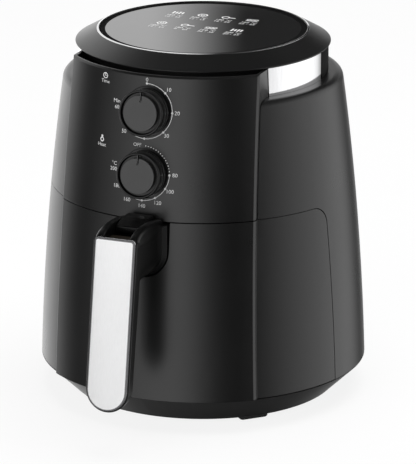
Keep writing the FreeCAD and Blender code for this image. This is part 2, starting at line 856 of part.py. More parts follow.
def heating_element():
    """One tube that dips through the reflector, runs round in a flat spiral and comes up again."""
    z, bend, tube = heater_level.value, SIZES["heater_bend"], SIZES["heater_tube"]
    outer, pitch = heater_radius.value, SIZES["heater_pitch"]
    top = reflector_top.value + SIZES["heater_leg"]
    corner = bend * (1 - math.sqrt(0.5))
    edges = [
        Part.LineSegment(Vector(outer, 0, top), Vector(outer, 0, z + bend)),
        Part.Arc(Vector(outer, 0, z + bend), Vector(outer, corner, z + corner), Vector(outer, bend, z)),
    ]
    here = Vector(outer, bend, z)
    for half_turn in range(3):
        way = 1 if half_turn % 2 == 0 else -1
        across = -way * (outer - pitch / 2 * (half_turn + 1))
        middle = Vector((here.x + across) / 2, way * (bend + abs(here.x - across) / 2), z)
        after = Vector(across, here.y, z)
        edges.append(Part.Arc(here, middle, after))
        turned_back = Vector(across, -here.y if half_turn < 2 else 0, z)
        edges.append(Part.LineSegment(after, turned_back))
        here = turned_back
    rise = Vector(here.x, -bend, z + bend)
    edges.append(Part.Arc(here, Vector(here.x, corner - bend, z + corner), rise))
    edges.append(Part.LineSegment(rise, Vector(rise.x, rise.y, top)))
    path = Part.Wire([edge.toShape() for edge in edges])
    ring = Part.Wire([Part.Circle(Vector(outer, 0, top), Vector(0, 0, 1), tube).toShape()])
    node = doc.addObject("Part::Feature", "heating_element")
    node.Shape = path.makePipeShell([ring], True, False)
    node.Placement.Base = Vector(0, axis_shift.value, 0)
    return node


def heater_bushings():
    """Ceramic sleeves that carry the heater's two ends in the reflector."""
    sleeves = []
    for index, (x, y) in enumerate(heater_ends()):
        body = new_body(f"bushing_{index}")
        ring = [Round(x, y, d.bushing_radius), Round(x, y, d.heater_tube + d.seat_clearance)]
        pad(body, draw(body, "XY_Plane", *ring, level=reflector_top), d.bushing_height)
        sleeves.append(body)
    group = doc.addObject("Part::Compound", "heater_bushings")
    group.Links = sleeves
    doc.recompute()
    return group


def heater_guard():
    """The flat grille below the heater."""
    body = new_body("heater_guard")
    low = ceiling_height + d.reflector_wall
    outer = reflector_radius(low + d.guard_thickness) - d.slide_clearance
    pad(body, draw(body, "XY_Plane", Round(0, 0, outer), level=low), d.guard_thickness)
    spoke = math.radians(FULL_TURN / GUARD_SPOKES / 2)
    openings = []
    pitch = (outer.value - SIZES["guard_bar"] - SIZES["guard_eye"]) / GUARD_RINGS
    bar = SIZES["guard_bar"] / 2
    for index in range(GUARD_RINGS):
        inner = SIZES["guard_eye"] + pitch * index
        rim = inner + pitch - SIZES["guard_bar"]
        near, far = spoke - bar / inner, spoke - bar / rim
        near_x, near_y = inner * math.cos(near), -inner * math.sin(near)
        far_x, far_y = rim * math.cos(far), -rim * math.sin(far)
        openings.append([
            (near_x, near_y), (far_x, far_y), Curve(far_x, -far_y, 0, 0, 1), (near_x, -near_y),
            Curve(near_x, near_y, 0, 0, -1),
        ][1:])
    cuts = pocket(body, draw(body, "XY_Plane", *openings, level=low + MARGIN), MARGIN * 2)
    around(body, cuts, GUARD_SPOKES)
    return body


def motor_bracket():
    body = new_body("motor_bracket")
    low = reflector_top + d.motor_lift
    ring = [Round(0, 0, d.bracket_radius), Round(0, 0, d.fan_hub)]
    pad(body, draw(body, "XY_Plane", *ring, level=low), d.bracket_thickness)
    leg = Round(d.bracket_radius - MARGIN, 0, d.shaft_radius)
    legs = pad(body, draw(body, "XY_Plane", leg, level=reflector_top), d.motor_lift)
    around(body, legs, BRACKET_LEGS)
    return body


def motor():
    body = new_body("motor")
    cap = motor_length / 7
    bore = shaft_hole
    profile = [
        (bore, motor_low), (d.motor_radius, motor_low), (d.motor_radius, motor_top - cap),
        (d.motor_radius - cap, motor_top - cap), (d.motor_radius / 2, motor_top), (bore, motor_top),
    ]
    turned(body, draw(body, "YZ_Plane", profile))
    return body


def motor_shaft():
    body = new_body("motor_shaft")
    low = reflector_top - d.reflector_wall - d.fan_air - d.hot_fan_depth
    high = motor_top + d.fan_air + cool_fan_depth
    pad(body, draw(body, "XY_Plane", Round(0, 0, d.shaft_radius), level=low), high - low)
    return body


def hot_air_fan():
    """A disc with straight radial vanes under it, which throws the air outwards."""
    body = new_body("hot_air_fan")
    high = reflector_top - d.reflector_wall - d.fan_air
    low = high - d.hot_fan_depth
    bore = d.shaft_radius + d.running_clearance
    under = high - d.blade_wall
    hub = [
        (bore, low), (d.fan_hub, low), (d.fan_hub, under), (d.hot_fan_radius, under),
        (d.hot_fan_radius, high), (bore, high),
    ]
    turned(body, draw(body, "YZ_Plane", hub))
    vane = box_outline(d.fan_hub - d.blade_wall, d.hot_fan_radius, -d.blade_wall / 2, d.blade_wall / 2)
    vanes = pad(body, draw(body, "XY_Plane", vane, level=low), d.hot_fan_depth - d.blade_wall / 2)
    around(body, vanes, HOT_FAN_BLADES)
    return body


def cooling_fan():
    """A small axial fan on top of the motor, with pitched blades."""
    body = new_body("cooling_fan")
    low = motor_top + d.fan_air
    high = low + cool_fan_depth
    bore = d.shaft_radius + d.running_clearance
    turned(body, draw(body, "YZ_Plane", box_outline(bore, d.fan_hub, low, high)))
    lean = cool_fan_depth / 3
    wall = d.blade_wall / 2
    section = [(-lean - wall, low), (wall - lean, low), (lean + wall, high), (lean - wall, high)]
    start = d.fan_hub - d.blade_wall
    blades = pad(body, draw(body, "YZ_Plane", section, level=start), d.cool_fan_radius - start)
    around(body, blades, COOL_FAN_BLADES)
    return body


def dial_unit(label, level, width, depth):
    """The switch case behind a dial, with the threaded bush that passes through the panel."""
    body = dial_body(label, level)
    half = width / 2
    bulge = half * half / (side(level) * 2)
    front = d.shell_wall + bulge + d.slide_clearance
    outline = rounded_outline(half, -half, half, d.bush_radius)
    pad(body, draw(body, "XY_Plane", outline, level=-front - depth), depth)
    pad(body, draw(body, "XY_Plane", Round(0, 0, d.bush_radius), level=-front), front - d.dial_recess_depth)
    bore = Round(0, 0, d.spindle_radius + d.running_clearance)
    pocket(body, draw(body, "XY_Plane", bore), FAR, Midplane=True)
    return body


def knob_seat():
    """Height of the floor of the recess that the face disc sits in."""
    return d.knob_height + d.cap_rise - d.cap_thickness


def dial_spindle(label, level, depth):
    body = dial_body(label, level)
    start = -depth
    pad(body, draw(body, "XY_Plane", Round(0, 0, d.spindle_radius), level=start),
        knob_seat() - d.cap_clearance * 4 - start)
    return body


def dial_knob(label, level):
    body = dial_body(label, level)
    seat = knob_seat()
    mouth = d.knob_radius - d.knob_rim
    bore = d.spindle_radius + d.running_clearance
    flange_top = d.knob_lift + d.knob_flange_height
    neck = d.knob_radius - d.knob_lift
    profile = [
        (bore, d.knob_lift), (d.knob_flange, d.knob_lift), (d.knob_flange, flange_top), (neck, flange_top),
        (neck, flange_top + d.knob_lift * 2), (d.knob_radius, flange_top + d.knob_lift * 2),
        (d.knob_radius, d.knob_height - d.knob_lift * 2),
        Curve(d.knob_radius - d.knob_lift * 2, d.knob_height, d.knob_radius - d.knob_lift * 2,
              d.knob_height - d.knob_lift * 2, 1),
        (mouth, d.knob_height), (mouth, seat), (bore, seat),
    ]
    turned(body, draw(body, "XZ_Plane", profile))
    return body


def dial_cap(label, level):
    """The face disc of a dial with its pointer line."""
    body = dial_body(label, level)
    seat = knob_seat() + d.cap_clearance
    radius = d.knob_radius - d.knob_rim - d.cap_clearance * 2
    top = d.knob_height + d.cap_rise
    pad(body, draw(body, "XY_Plane", Round(0, 0, radius), level=seat), top - seat)
    half = d.pointer_width / 2
    line = box_outline(-half, half, radius - d.pointer_length, radius + d.cap_rise)
    pocket(body, draw(body, "XY_Plane", line, level=top), d.pointer_depth)
    return body


def drawer_switch():
    """The safety switch that senses the drawer, on the reflector's flange."""
    body = new_body("drawer_switch")
    inner = reflector_mouth + MARGIN
    width, depth, height = d.timer_width / 2, d.rail_width, d.timer_width / 3
    outline = box_outline(width, width * 2, -inner - depth, -inner)
    pad(body, draw(body, "XY_Plane", outline, level=ceiling_height + d.reflector_wall), height)
    return body


def wing_block(label, low, high, offset, inset):
    """The front part of the housing's round form, ahead of the wings' rear edge."""
    body = new_body(label)
    solid = [(0, low), (side(low, offset), low), side_arc(side(high, offset), high, 1), (0, high)]
    turned(body, draw(body, "YZ_Plane", solid))
    corner = d.wing_corner_round
    rear = -d.wing_setback - d.split_gap + inset
    lower = low - MARGIN
    behind = [
        (rear, lower), (rear, drawer_top - corner),
        Curve(rear - corner, drawer_top, rear - corner, drawer_top - corner, 1),
        (rear - corner, high + MARGIN), (FAR, high + MARGIN), (FAR, lower),
    ]
    pocket(body, draw(body, "YZ_Plane", behind), FAR * 2, Midplane=True)
    return body


def drawer_front():
    wall = d.shell_wall
    step = d.panel_step
    field = wedge("drawer_field", drawer_low, drawer_top, step, 0, d.panel_back, at_front_side)
    wings = wing_block("drawer_wings", drawer_low, drawer_top, 0, 0)
    solid = joined("drawer_solid", wings, field)
    high, low = drawer_top - wall, drawer_low + wall
    field_room = wedge("drawer_field_room", low, high, step - wall, wall, d.panel_back - MARGIN)
    wing_room = wing_block("drawer_wing_room", low, high, -wall, MARGIN)
    slot = new_body("handle_slot")
    outline = arch_outline(slot_half, neck_low - slot_half + d.grip_width / 2, d.split_height + MARGIN)
    pad(slot, draw(slot, "XZ_Plane", outline, level=d.panel_back), FAR - d.panel_back)
    # The top wall is open behind the slot, where the basket's handle lifts out
    hatch = new_body("handle_hatch")
    mouth = box_outline(-slot_half, slot_half, -side(d.split_height), -d.panel_back)
    pad(hatch, draw(hatch, "XY_Plane", mouth, level=drawer_top - wall - MARGIN), MARGIN * 3)
    # Inside the lining the drawer is open above and below, so that the pan and the basket lift out
    well = new_body("drawer_well")
    opening = Round(0, 0, lining_radius - d.lining_wall)
    rise = drawer_top - drawer_low + MARGIN * 2
    pad(well, draw(well, "XY_Plane", opening, level=drawer_low - MARGIN), rise)
    return cut("drawer_front", solid, field_room, wing_room, slot, hatch, well)


def drawer_lining():
    """The curved inner wall of the drawer front, on four bosses."""
    body = new_body("drawer_lining")
    low, high = drawer_low + d.shell_wall + MARGIN, neck_low - MARGIN
    boss_x, boss_low, boss_high = d.mount_half * 1.6, low + MARGIN * 3, high - MARGIN * 3
    middle = lining_radius + d.lining_wall / 2
    start = root(middle * middle - boss_x * boss_x)
    bosses = [Round(x, z, d.bush_radius) for x in (-boss_x, boss_x) for z in (boss_low, boss_high)]
    plate = box_outline(-lining_radius - d.lining_wall, -lining_radius, low, high)
    turned(body, draw(body, "YZ_Plane", plate), angle=d.lining_angle)
    pad(body, draw(body, "XZ_Plane", *bosses, level=start), FAR - start)
    trim = d.panel_step - d.shell_wall - d.seat_clearance
    under, over = low - MARGIN, high + MARGIN
    outside = [
        (-side(under, trim), under), side_arc(side(over, trim), over, -1, mirrored=True),
        (-FAR * 2, over), (-FAR * 2, under),
    ]
    turned(body, draw(body, "YZ_Plane", outside), "Groove")
    return body


def pan_bracket():
    """The steel block that carries the pan on the drawer's lining."""
    body = new_body("pan_bracket")
    low, high = pan_floor + pan_height / 4, pan_top - pan_height / 4
    pad(body, draw(body, "XZ_Plane", box_outline(-d.mount_half, d.mount_half, low, high), level=d.panel_back),
        FAR - d.panel_back)
    gap = d.seat_clearance
    outer = lining_radius - gap
    lower, upper = low - MARGIN, high + MARGIN
    beyond = box_outline(outer, as_size(FAR * 2), lower, upper)
    turned(body, draw(body, "YZ_Plane", beyond), "Groove")
    within = [(0, lower), (pan_outer(lower) + gap, lower), (pan_outer(upper) + gap, upper), (0, upper)]
    turned(body, draw(body, "YZ_Plane", within), "Groove")
    return body


def pan_outer(level):
    """Outer radius of the pan's tapered wall at a height."""
    return pan_radius - d.pan_taper * (pan_top - level) / pan_height


def frying_pan():
    body = new_body("frying_pan")
    wall = d.pan_wall
    foot_radius = pan_radius - d.pan_taper
    profile = [
        (0, pan_floor), (foot_radius, pan_floor), (pan_radius, pan_top - wall),
        (pan_radius + d.pan_rim, pan_top - wall), (pan_radius + d.pan_rim, pan_top),
        (pan_radius - wall, pan_top), (foot_radius - wall, pan_floor + wall), (0, pan_floor + wall),
    ]
    turned(body, draw(body, "YZ_Plane", profile))
    corner = foot_radius.value
    dressed(body, "Fillet", wall * 3, lambda edge: is_ring(edge, corner, pan_floor.value))
    return body


def basket():
    """The perforated basket that hangs by its rim in the pan."""
    body = new_body("basket")
    wall = d.basket_wall
    top_radius = pan_radius - d.pan_wall - d.basket_gap
    low_radius = top_radius - d.basket_taper
    low, high = pan_floor + d.basket_lift, basket_rim + wall
    rim = pan_radius + d.pan_rim / 2
    profile = [
        (0, low), (low_radius, low), (top_radius, basket_rim), (rim, basket_rim), (rim, high),
        (top_radius - wall, high), (low_radius - wall, low + wall), (0, low + wall),
    ]
    turned(body, draw(body, "YZ_Plane", profile))
    half = d.basket_slot / 2
    for index, count in enumerate(BASKET_SLOT_COUNTS, start=1):
        radius = low_radius * index / (len(BASKET_SLOT_COUNTS) + 1)
        start, end = radius - d.basket_slot, radius + d.basket_slot
        slot = [(end, half), Curve(end, -half, end, 0, -1), (start, -half), Curve(start, half, start, 0, -1)]
        slots = pocket(body, draw(body, "XY_Plane", slot, level=low + MARGIN), MARGIN * 2)
        around(body, slots, count)
    return body


def basket_strap():
    """The bent steel strap from the basket's rim to the root of the handle."""
    body = new_body("basket_strap")
    wall = d.strap_wall
    inner = pan_radius - d.pan_wall - d.basket_gap
    face = -neck_root
    profile = [
        (-inner, strap_low), (face, strap_low), (face, recess_floor), (face + wall, recess_floor),
        (face + wall, strap_low + wall), (-inner, strap_low + wall),
    ]
    pad(body, draw(body, "YZ_Plane", profile), d.strap_width, Midplane=True)
    holes = [Round(x, z, d.screw_radius + d.seat_clearance) for x, z in handle_screw_places()]
    pocket(body, draw(body, "XZ_Plane", *holes, level=neck_root - MARGIN), MARGIN * 2, Reversed=True)
    return body


def handle_screw_places():
    """Where the strap is screwed to the handle's root, as (x, z)."""
    level = (strap_low + recess_floor) / 2 + d.strap_wall
    return [(d.handle_screw_spacing / 2 * way, level) for way in (-1, 1)]


def handle_screws():
    """The screws that join the basket's strap to the handle."""
    face = axis_shift + d.strap_wall - neck_root
    screws = [
        screw(f"handle_screw_{index}", d.screw_length, 90, x, face, z)
        for index, (x, z) in enumerate(handle_screw_places())
    ]
    group = doc.addObject("Part::Compound", "handle_screws")
    group.Links = screws
    doc.recompute()
    return group


def grip_front(level):
    """Reach of the grip's leaning front at a height."""
    slope = (d.grip_reach - d.grip_top_reach) / (grip_top - d.grip_low)
    return d.grip_top_reach + slope * (grip_top - level)


def grip_slab(label, half, low, high, front, back_low, back_high):
    """A leaning slab with a half-round lower end; front and backs are set in from the grip's front."""
    body = new_body(label)
    section = [
        (front - grip_front(high), high), (back_high - grip_front(high), high),
        (back_low - grip_front(low), low), (front - grip_front(low), low),
    ]
    pad(body, draw(body, "YZ_Plane", section), half * 2, Midplane=True)
    centre, beyond = low + half, half + MARGIN
    corners = [
        (half, centre), (beyond, centre), (beyond, low - MARGIN), (-beyond, low - MARGIN), (-beyond, centre),
        (-half, centre), Curve(half, centre, 0, centre, 1),
    ][1:]
    pocket(body, draw(body, "XZ_Plane", corners), FAR, Reversed=True)
    return body


def handle_shell():
    half = d.grip_width / 2
    body = grip_slab("handle_form", half, d.grip_low, grip_top, as_size(0), d.grip_thick_low,
                     d.grip_thick_top)
    dressed(body, "Fillet", d.grip_edge_round, lambda edge: on_grip_outline(edge.BoundBox))
    neck = arch_outline(half, neck_low, grip_top)
    neck_length = d.grip_top_reach - d.grip_edge_round - neck_root
    pad(body, draw(body, "XZ_Plane", neck, level=neck_root), neck_length)
    # The bevelled collar fills the slot in the drawer front
    collar_half = half + d.collar_width
    collar_low = neck_low - (collar_half - half)
    start = side(d.split_height, -d.shell_wall)
    proud = side(collar_low, d.panel_step) + d.collar_proud
    collar = arch_outline(collar_half, collar_low, grip_top)
    pad(body, draw(body, "XZ_Plane", collar, level=start), proud - start)
    face = -proud.value
    dressed(body, "Chamfer", d.collar_bevel, lambda edge: on_collar(edge, face, half.value))
    well = box_outline(-d.well_half, d.well_half, d.slide_clearance - button_front, MARGIN - guard_rear)
    pocket(body, draw(body, "XY_Plane", well, level=grip_top), d.well_depth)
    shaft = box_outline(-d.well_half, d.well_half, -button_front - d.slide_clearance,
                        d.slide_clearance - guard_reach)
    pocket(body, draw(body, "XY_Plane", shaft, level=grip_top), grip_top - button_low + d.spring_length)
    # A channel for the latch bar from the root to a slot under the button, and two screw holes
    gap = d.slide_clearance
    near, far = d.latch_near - gap, d.latch_near + d.latch_width + gap
    front = latch_front + d.button_travel + gap
    channel = box_outline(near, far, latch_low - gap, latch_low + d.latch_thickness + gap)
    pocket(body, draw(body, "XZ_Plane", channel, level=neck_root - MARGIN), front - neck_root + MARGIN,
           Reversed=True)
    slot = box_outline(near, far, -front, gap - guard_reach)
    pocket(body, draw(body, "XY_Plane", slot, level=button_low), button_low - latch_low + gap)
    holes = [Round(x, z, d.screw_radius + d.seat_clearance) for x, z in handle_screw_places()]
    pocket(body, draw(body, "XZ_Plane", *holes, level=neck_root), d.screw_length, Reversed=True)
    margin = d.grip_plate_margin
    tool = grip_slab("plate_seat", half - margin + d.seat_clearance, d.grip_low + margin - d.seat_clearance,
                     grip_top - margin, as_size(-MARGIN), d.grip_plate_thickness, d.grip_plate_thickness)
    return cut("handle_shell", body, tool)


def on_grip_outline(box):
    """True for the grip's long edges, its round lower end and its upper front edge."""
    at_top = box.ZMin > grip_top.value - NEAR
    at_front = box.YMax < MARGIN - SIZES["grip_top_reach"]
    return box.ZLength > MARGIN or at_top and at_front and box.XLength > MARGIN


def basket_latch():
    """A bolt under the pan's rim that keeps the basket in. Its ramp draws it forward as the button sinks."""
    body = new_body("basket_latch")
    low, high, top = latch_low, latch_low + d.latch_thickness, latch_low + d.latch_rise
    tip = pan_radius + d.pan_rim - d.latch_grip
    profile = [
        (-tip, low), (-tip, high), (-latch_back, high), (-latch_back, top - d.latch_ramp),
        (-latch_back - d.latch_ramp, top), (-latch_front, top), (-latch_front, low),
    ]
    pad(body, draw(body, "YZ_Plane", profile, level=d.latch_near), d.latch_width)
    return body


def on_collar(edge, face, half):
    """True for the collar's front outline, apart from its straight top."""
    box = edge.BoundBox
    at_face = abs(box.YMin - face) < NEAR and abs(box.YMax - face) < NEAR
    lower_end = box.XLength > 2 * half + NEAR
    upright = box.XLength < NEAR and abs(box.XMin) > half + NEAR
    return at_face and box.ZLength > MARGIN and (lower_end or upright)


def handle_plate():
    half, margin = d.grip_width / 2, d.grip_plate_margin
    gap = d.seat_clearance
    back = d.grip_plate_thickness - gap
    return grip_slab("handle_plate", half - margin, d.grip_low + margin, grip_top - margin - gap,
                     as_size(0), back, back)


def release_guard():
    """The slider that covers the release button when it is pushed forward."""
    body = new_body("release_guard")
    low, nose = recess_floor + d.slide_clearance, button_top + d.slide_clearance * 2
    rear, reach = guard_rear, guard_reach
    step = rear + (reach - rear) * d.guard_share
    rise = guard_top - nose
    bow = rise / 2
    profile = [
        (-rear, low), (-rear, guard_top), (bow * 2 - reach, guard_top),
        Curve(-reach, guard_top - bow * 2, bow * 2 - reach, guard_top - bow * 2, 1),
        (-step, nose), (-step, low),
    ]
    pad(body, draw(body, "YZ_Plane", profile), (d.well_half - d.slide_clearance) * 2, Midplane=True)
    return body


def release_button():
    body = new_body("release_button")
    half = d.well_half - d.slide_clearance * 2
    rear = d.slide_clearance * 2 - button_front
    outline = box_outline(-half, half, rear, -guard_reach - d.slide_clearance)
    pad(body, draw(body, "XY_Plane", outline, level=button_low), d.button_height)
    # A leg with a ramp that lies along the latch's own ramp
    behind = (guard_reach + latch_back) / 2
    ahead = behind + d.latch_leg
    ramp = latch_low + d.latch_rise - d.latch_ramp - latch_back + d.slide_clearance * 2
    leg = [(-behind, button_low), (-behind, ramp + behind), (-ahead, ramp + ahead), (-ahead, button_low)]
    pad(body, draw(body, "YZ_Plane", leg, level=d.latch_near), d.latch_width)
    return body


def button_spring():
    """The coil that lifts the button back up."""
    turns, length = SPRING_TURNS, SIZES["spring_length"]
    radius, wire = SIZES["spring_radius"], SIZES["spring_wire"]
    helix = Part.makeLongHelix(length / turns, length - wire * 4, radius)
    centre = -(button_front.value + guard_reach.value) / 2
    ring = Part.Wire([Part.Circle(Vector(radius, 0, 0), Vector(0, 1, 0), wire).toShape()])
    node = doc.addObject("Part::Feature", "button_spring")
    node.Shape = Part.Wire(helix).makePipeShell([ring], True, True)
    node.Placement.Base = Vector(0, centre + axis_shift.value, button_low.value - length + wire * 2)
    return node


def build():
    levels = {"timer": timer_level, "temperature": thermostat_level}
    nodes = [
        rear_housing(), control_panel(), neck_band(), top_cover(), top_plate(), base_tray(), base_screws(),
        rear_outlet(), cord_gland(), floor_plate(), drawer_rail("left", -1), drawer_rail("right", 1),
        chamber_liner(), heat_reflector(), heating_element(), heater_bushings(), heater_guard(),
        motor_bracket(), motor(), motor_shaft(), hot_air_fan(), cooling_fan(), drawer_switch(),
        dial_unit("timer_unit", timer_level, d.timer_width, d.timer_depth),
        dial_unit("thermostat_unit", thermostat_level, d.thermostat_width, d.thermostat_depth),
        dial_spindle("timer_spindle", timer_level, d.timer_depth),
        dial_spindle("temperature_spindle", thermostat_level, d.thermostat_depth),
        drawer_front(), drawer_lining(), pan_bracket(), frying_pan(), basket(), basket_strap(),
        handle_shell(), handle_plate(), handle_screws(), release_guard(), release_button(), button_spring(),
        basket_latch(),
    ]
    nodes += [foot(name, angle) for name, angle in FOOT_ANGLES.items()]
    nodes += [dial_knob(f"{name}_knob", level) for name, level in levels.items()]
    nodes += [dial_cap(f"{name}_cap", level) for name, level in levels.items()]
    return nodes


def faults(nodes):
    """Objects that failed to build, and pieces whose shape is missing or broken."""
    wrong = [item.Name for item in doc.Objects if {"Invalid", "Error"} & set(item.State)]
    wrong += [node.Label for node in nodes if node.Shape.isNull() or not node.Shape.isValid()]
    wrong += [node.Label for node in nodes if not node.Shape.Solids]
    return wrong


nodes = build()
doc.recompute()
broken = faults(nodes)
if broken:
    raise RuntimeError(f"these did not build: {broken}")
os.makedirs("parts", exist_ok=True)
for node in nodes:
    node.Shape.exportStep(f"parts/{node.Label}.step")
    print(f"{node.Label}: {len(node.Shape.Solids)} solid, {node.Shape.Volume / 1000:.1f} cm3")
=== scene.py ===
# %% [markdown]
# # The looks of a round counter-top air fryer
# The CAD model already has every piece at its true size. This script gives each surface its finish,
# prints the dials, and adds the small forms that are easier to shape as meshes than as CAD solids.

# %% Load the frame
import json
import math
import bmesh
import bpy
from mathutils import Matrix, Vector


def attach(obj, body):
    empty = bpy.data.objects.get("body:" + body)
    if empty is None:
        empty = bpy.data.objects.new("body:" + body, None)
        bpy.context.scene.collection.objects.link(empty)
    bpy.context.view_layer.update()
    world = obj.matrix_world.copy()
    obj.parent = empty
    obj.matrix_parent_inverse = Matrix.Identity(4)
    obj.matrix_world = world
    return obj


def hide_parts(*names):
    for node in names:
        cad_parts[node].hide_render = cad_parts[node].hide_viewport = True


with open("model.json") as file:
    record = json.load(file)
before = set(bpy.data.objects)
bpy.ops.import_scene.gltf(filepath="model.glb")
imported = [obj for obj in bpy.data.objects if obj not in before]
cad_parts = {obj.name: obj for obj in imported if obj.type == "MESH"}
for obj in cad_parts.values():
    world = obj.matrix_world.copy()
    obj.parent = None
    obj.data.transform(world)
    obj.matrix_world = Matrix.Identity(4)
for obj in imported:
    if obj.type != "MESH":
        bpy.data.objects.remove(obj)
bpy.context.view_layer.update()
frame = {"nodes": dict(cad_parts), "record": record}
nodes = frame["nodes"]
print("nodes:", len(nodes))

# %% [markdown]
# Sizes are in metres. The housing's side is one very large arc spun about an upright axis, and the
# control panel stands 3 mm proud of it. Rays cast at the CAD mesh could find the panel's surface, but the
# arc is known exactly, so a short function gives the panel's place at any height. Print and dials are
# laid out with it.

# %% Places on the front panel
AXIS_Y = 0.0229
BASE_RADIUS = 0.1299
BASE_LEVEL = 0.0265
SIDE_ARC = 2.2
PANEL_STEP = 0.003
ARC_DROP = 0.0465
ARC_RADIUS = SIDE_ARC + PANEL_STEP
ARC_CENTRE = BASE_RADIUS - math.sqrt(SIDE_ARC ** 2 - (BASE_LEVEL + ARC_DROP) ** 2)
TIMER_LEVEL = 0.2534
TEMPERATURE_LEVEL = 0.2058


def panel_radius(z):
    return ARC_CENTRE + math.sqrt(ARC_RADIUS ** 2 - (z + ARC_DROP) ** 2)


def panel_y(x, z):
    return AXIS_Y - math.sqrt(panel_radius(z) ** 2 - x ** 2)


def dial_frame(level):
    """A matrix whose Z axis points out of the panel at a dial and whose Y axis runs up the panel."""
    lean = math.asin((level + ARC_DROP) / ARC_RADIUS)
    turn = Matrix.Rotation(math.pi / 2 - lean, 4, "X")
    return Matrix.Translation((0, panel_y(0, level), level)) @ turn


for level in (TIMER_LEVEL, TEMPERATURE_LEVEL):
    print("panel at a dial:", round(panel_y(0, level), 4))

# %% [markdown]
# Every finish is a small graph of shader nodes. They could be wired one by one, but most share the same
# few steps. These helpers keep the graphs short: one makes a node and fills or links its inputs, and the
# others wrap the textures and sums that come back again and again.

# %% Node helpers
def new_material(name):
    made = bpy.data.materials.new(name)
    made.use_nodes = True
    return made, made.node_tree, made.node_tree.nodes["Principled BSDF"]


def put(tree, socket, value):
    """Link a socket to an input, or write a plain value there."""
    if isinstance(value, bpy.types.NodeSocket):
        tree.links.new(value, socket)
    else:
        socket.default_value = value


def node(tree, kind, settings=None, **inputs):
    made = tree.nodes.new("ShaderNode" + kind)
    for name, value in (settings or {}).items():
        setattr(made, name, value)
    for name, value in inputs.items():
        put(tree, made.inputs[name.replace("_", " ")], value)
    return made


def combine(tree, operation, *values):
    """One step of arithmetic on numbers or sockets."""
    made = node(tree, "Math", {"operation": operation})
    for socket, value in zip(made.inputs, values):
        put(tree, socket, value)
    return made.outputs[0]


def mix_shaders(tree, share, first, second):
    made = node(tree, "MixShader", Fac=share)
    put(tree, made.inputs[1], first.outputs[0])
    put(tree, made.inputs[2], second.outputs[0])
    return made.outputs[0]


# %% [markdown]
# Textures are read in object coordinates, in metres, so a scale of 1000 means about one grain to a
# millimetre. The Bevel node stands in for a real fillet where the CAD has a sharp edge.

# %% Texture helpers
def place(tree, scale=(1, 1, 1), turn=(0, 0, 0), origin=(0, 0, 0)):
    coords = node(tree, "TexCoord").outputs["Object"]
    made = node(tree, "Mapping", Vector=coords, Scale=scale, Rotation=turn, Location=origin)
    return made.outputs["Vector"]


def noise(tree, where, scale, detail=3.0, rough=0.55):
    made = node(tree, "TexNoise", Vector=where, Scale=scale, Detail=detail, Roughness=rough)
    return made.outputs["Fac"]


def spread(tree, value, low, high, from_low=0.3, from_high=0.7):
    """Map a value from one range to another; noise mostly keeps between 0.3 and 0.7."""
    made = node(tree, "MapRange", Value=value, From_Min=from_low, From_Max=from_high, To_Min=low,
                To_Max=high)
    return made.outputs["Result"]


def blend(tree, amount, first, second):
    """Mix two colours; a Mix node keeps its colours in sockets 6 and 7 and gives the result in 2."""
    made = node(tree, "Mix", {"data_type": "RGBA"})
    put(tree, made.inputs[0], amount)
    put(tree, made.inputs[6], first)
    put(tree, made.inputs[7], second)
    return made.outputs[2]


def soft_edges(tree, radius):
    return node(tree, "Bevel", {"samples": 6}, Radius=radius).outputs["Normal"]


def bump(tree, height, strength, distance, normal):
    made = node(tree, "Bump", Height=height, Strength=strength, Distance=distance, Normal=normal)
    return made.outputs["Normal"]


def grey(level, warm=0.0):
    return (level * (1 + warm), level, level * (1 - warm), 1)


# %% [markdown]
# The housing is injection-moulded plastic with a fine spark-eroded grain. A picture could hold such a
# grain, but a noise of about half a millimetre needs no unwrapping and never repeats. A slow noise shifts
# the colour by a tenth and the gloss by a few hundredths, and the Bevel node rounds each hard CAD edge in
# the shading, which draws the thin highlights seen along the seams.

# %% Moulded plastics
DARK_TINT = 0.9
LIGHT_TINT = 1.12
GLOSS_SWING = 0.025


def moulded(name, level, roughness, grain=1700.0, depth=0.00002, edge=0.0005, coat=0.0, warm=0.0,
            shine=0.5):
    made, tree, shader = new_material(name)
    where = place(tree)
    cloud = noise(tree, where, scale=9.0, detail=4.0)
    fine = noise(tree, where, scale=grain, detail=2.0)
    tints = grey(level * DARK_TINT, warm), grey(level * LIGHT_TINT, warm)
    gloss = spread(tree, cloud, roughness - GLOSS_SWING, roughness + GLOSS_SWING)
    normal = bump(tree, fine, strength=0.35, distance=depth, normal=soft_edges(tree, edge))
    put(tree, shader.inputs["Base Color"], blend(tree, spread(tree, cloud, 0.0, 1.0), *tints))
    put(tree, shader.inputs["Roughness"], gloss)
    put(tree, shader.inputs["Normal"], normal)
    put(tree, shader.inputs["Specular IOR Level"], shine)
    put(tree, shader.inputs["Coat Weight"], coat)
    put(tree, shader.inputs["Coat Roughness"], 0.05)
    return made


satin_black = moulded("satin black plastic", 0.0055, 0.29)
# Partly painted reflection: the base is its own black plastic, but its level is raised to stand in for
# floor light reflected in the skirt.
base_black = moulded("base black plastic lightened as painted reflection", 0.0150, 0.34, grain=1200.0, depth=0.00003)
handle_black = moulded("handle black plastic", 0.0025, 0.30, grain=2200.0, depth=0.00001, edge=0.0007,
                       shine=0.3)
cover_black = moulded("cover black plastic", 0.0036, 0.33, grain=2200.0, depth=0.00001, edge=0.0010,
                      shine=0.7)
# Painted dark reflection: a matt black with hardly any shine for the sleeve over the rear of the chrome
# neck band.
sleeve_reflection_black = moulded("sleeve black for painted dark reflection", 0.0050, 0.55, grain=1500.0, shine=0.05)
knob_black = moulded("knob black plastic", 0.0035, 0.32, grain=2000.0, depth=0.00001, shine=0.42)
gloss_black = moulded("polished black plate", 0.0050, 0.06, grain=300.0, depth=0.000001, edge=0.0006,
                      coat=0.6)
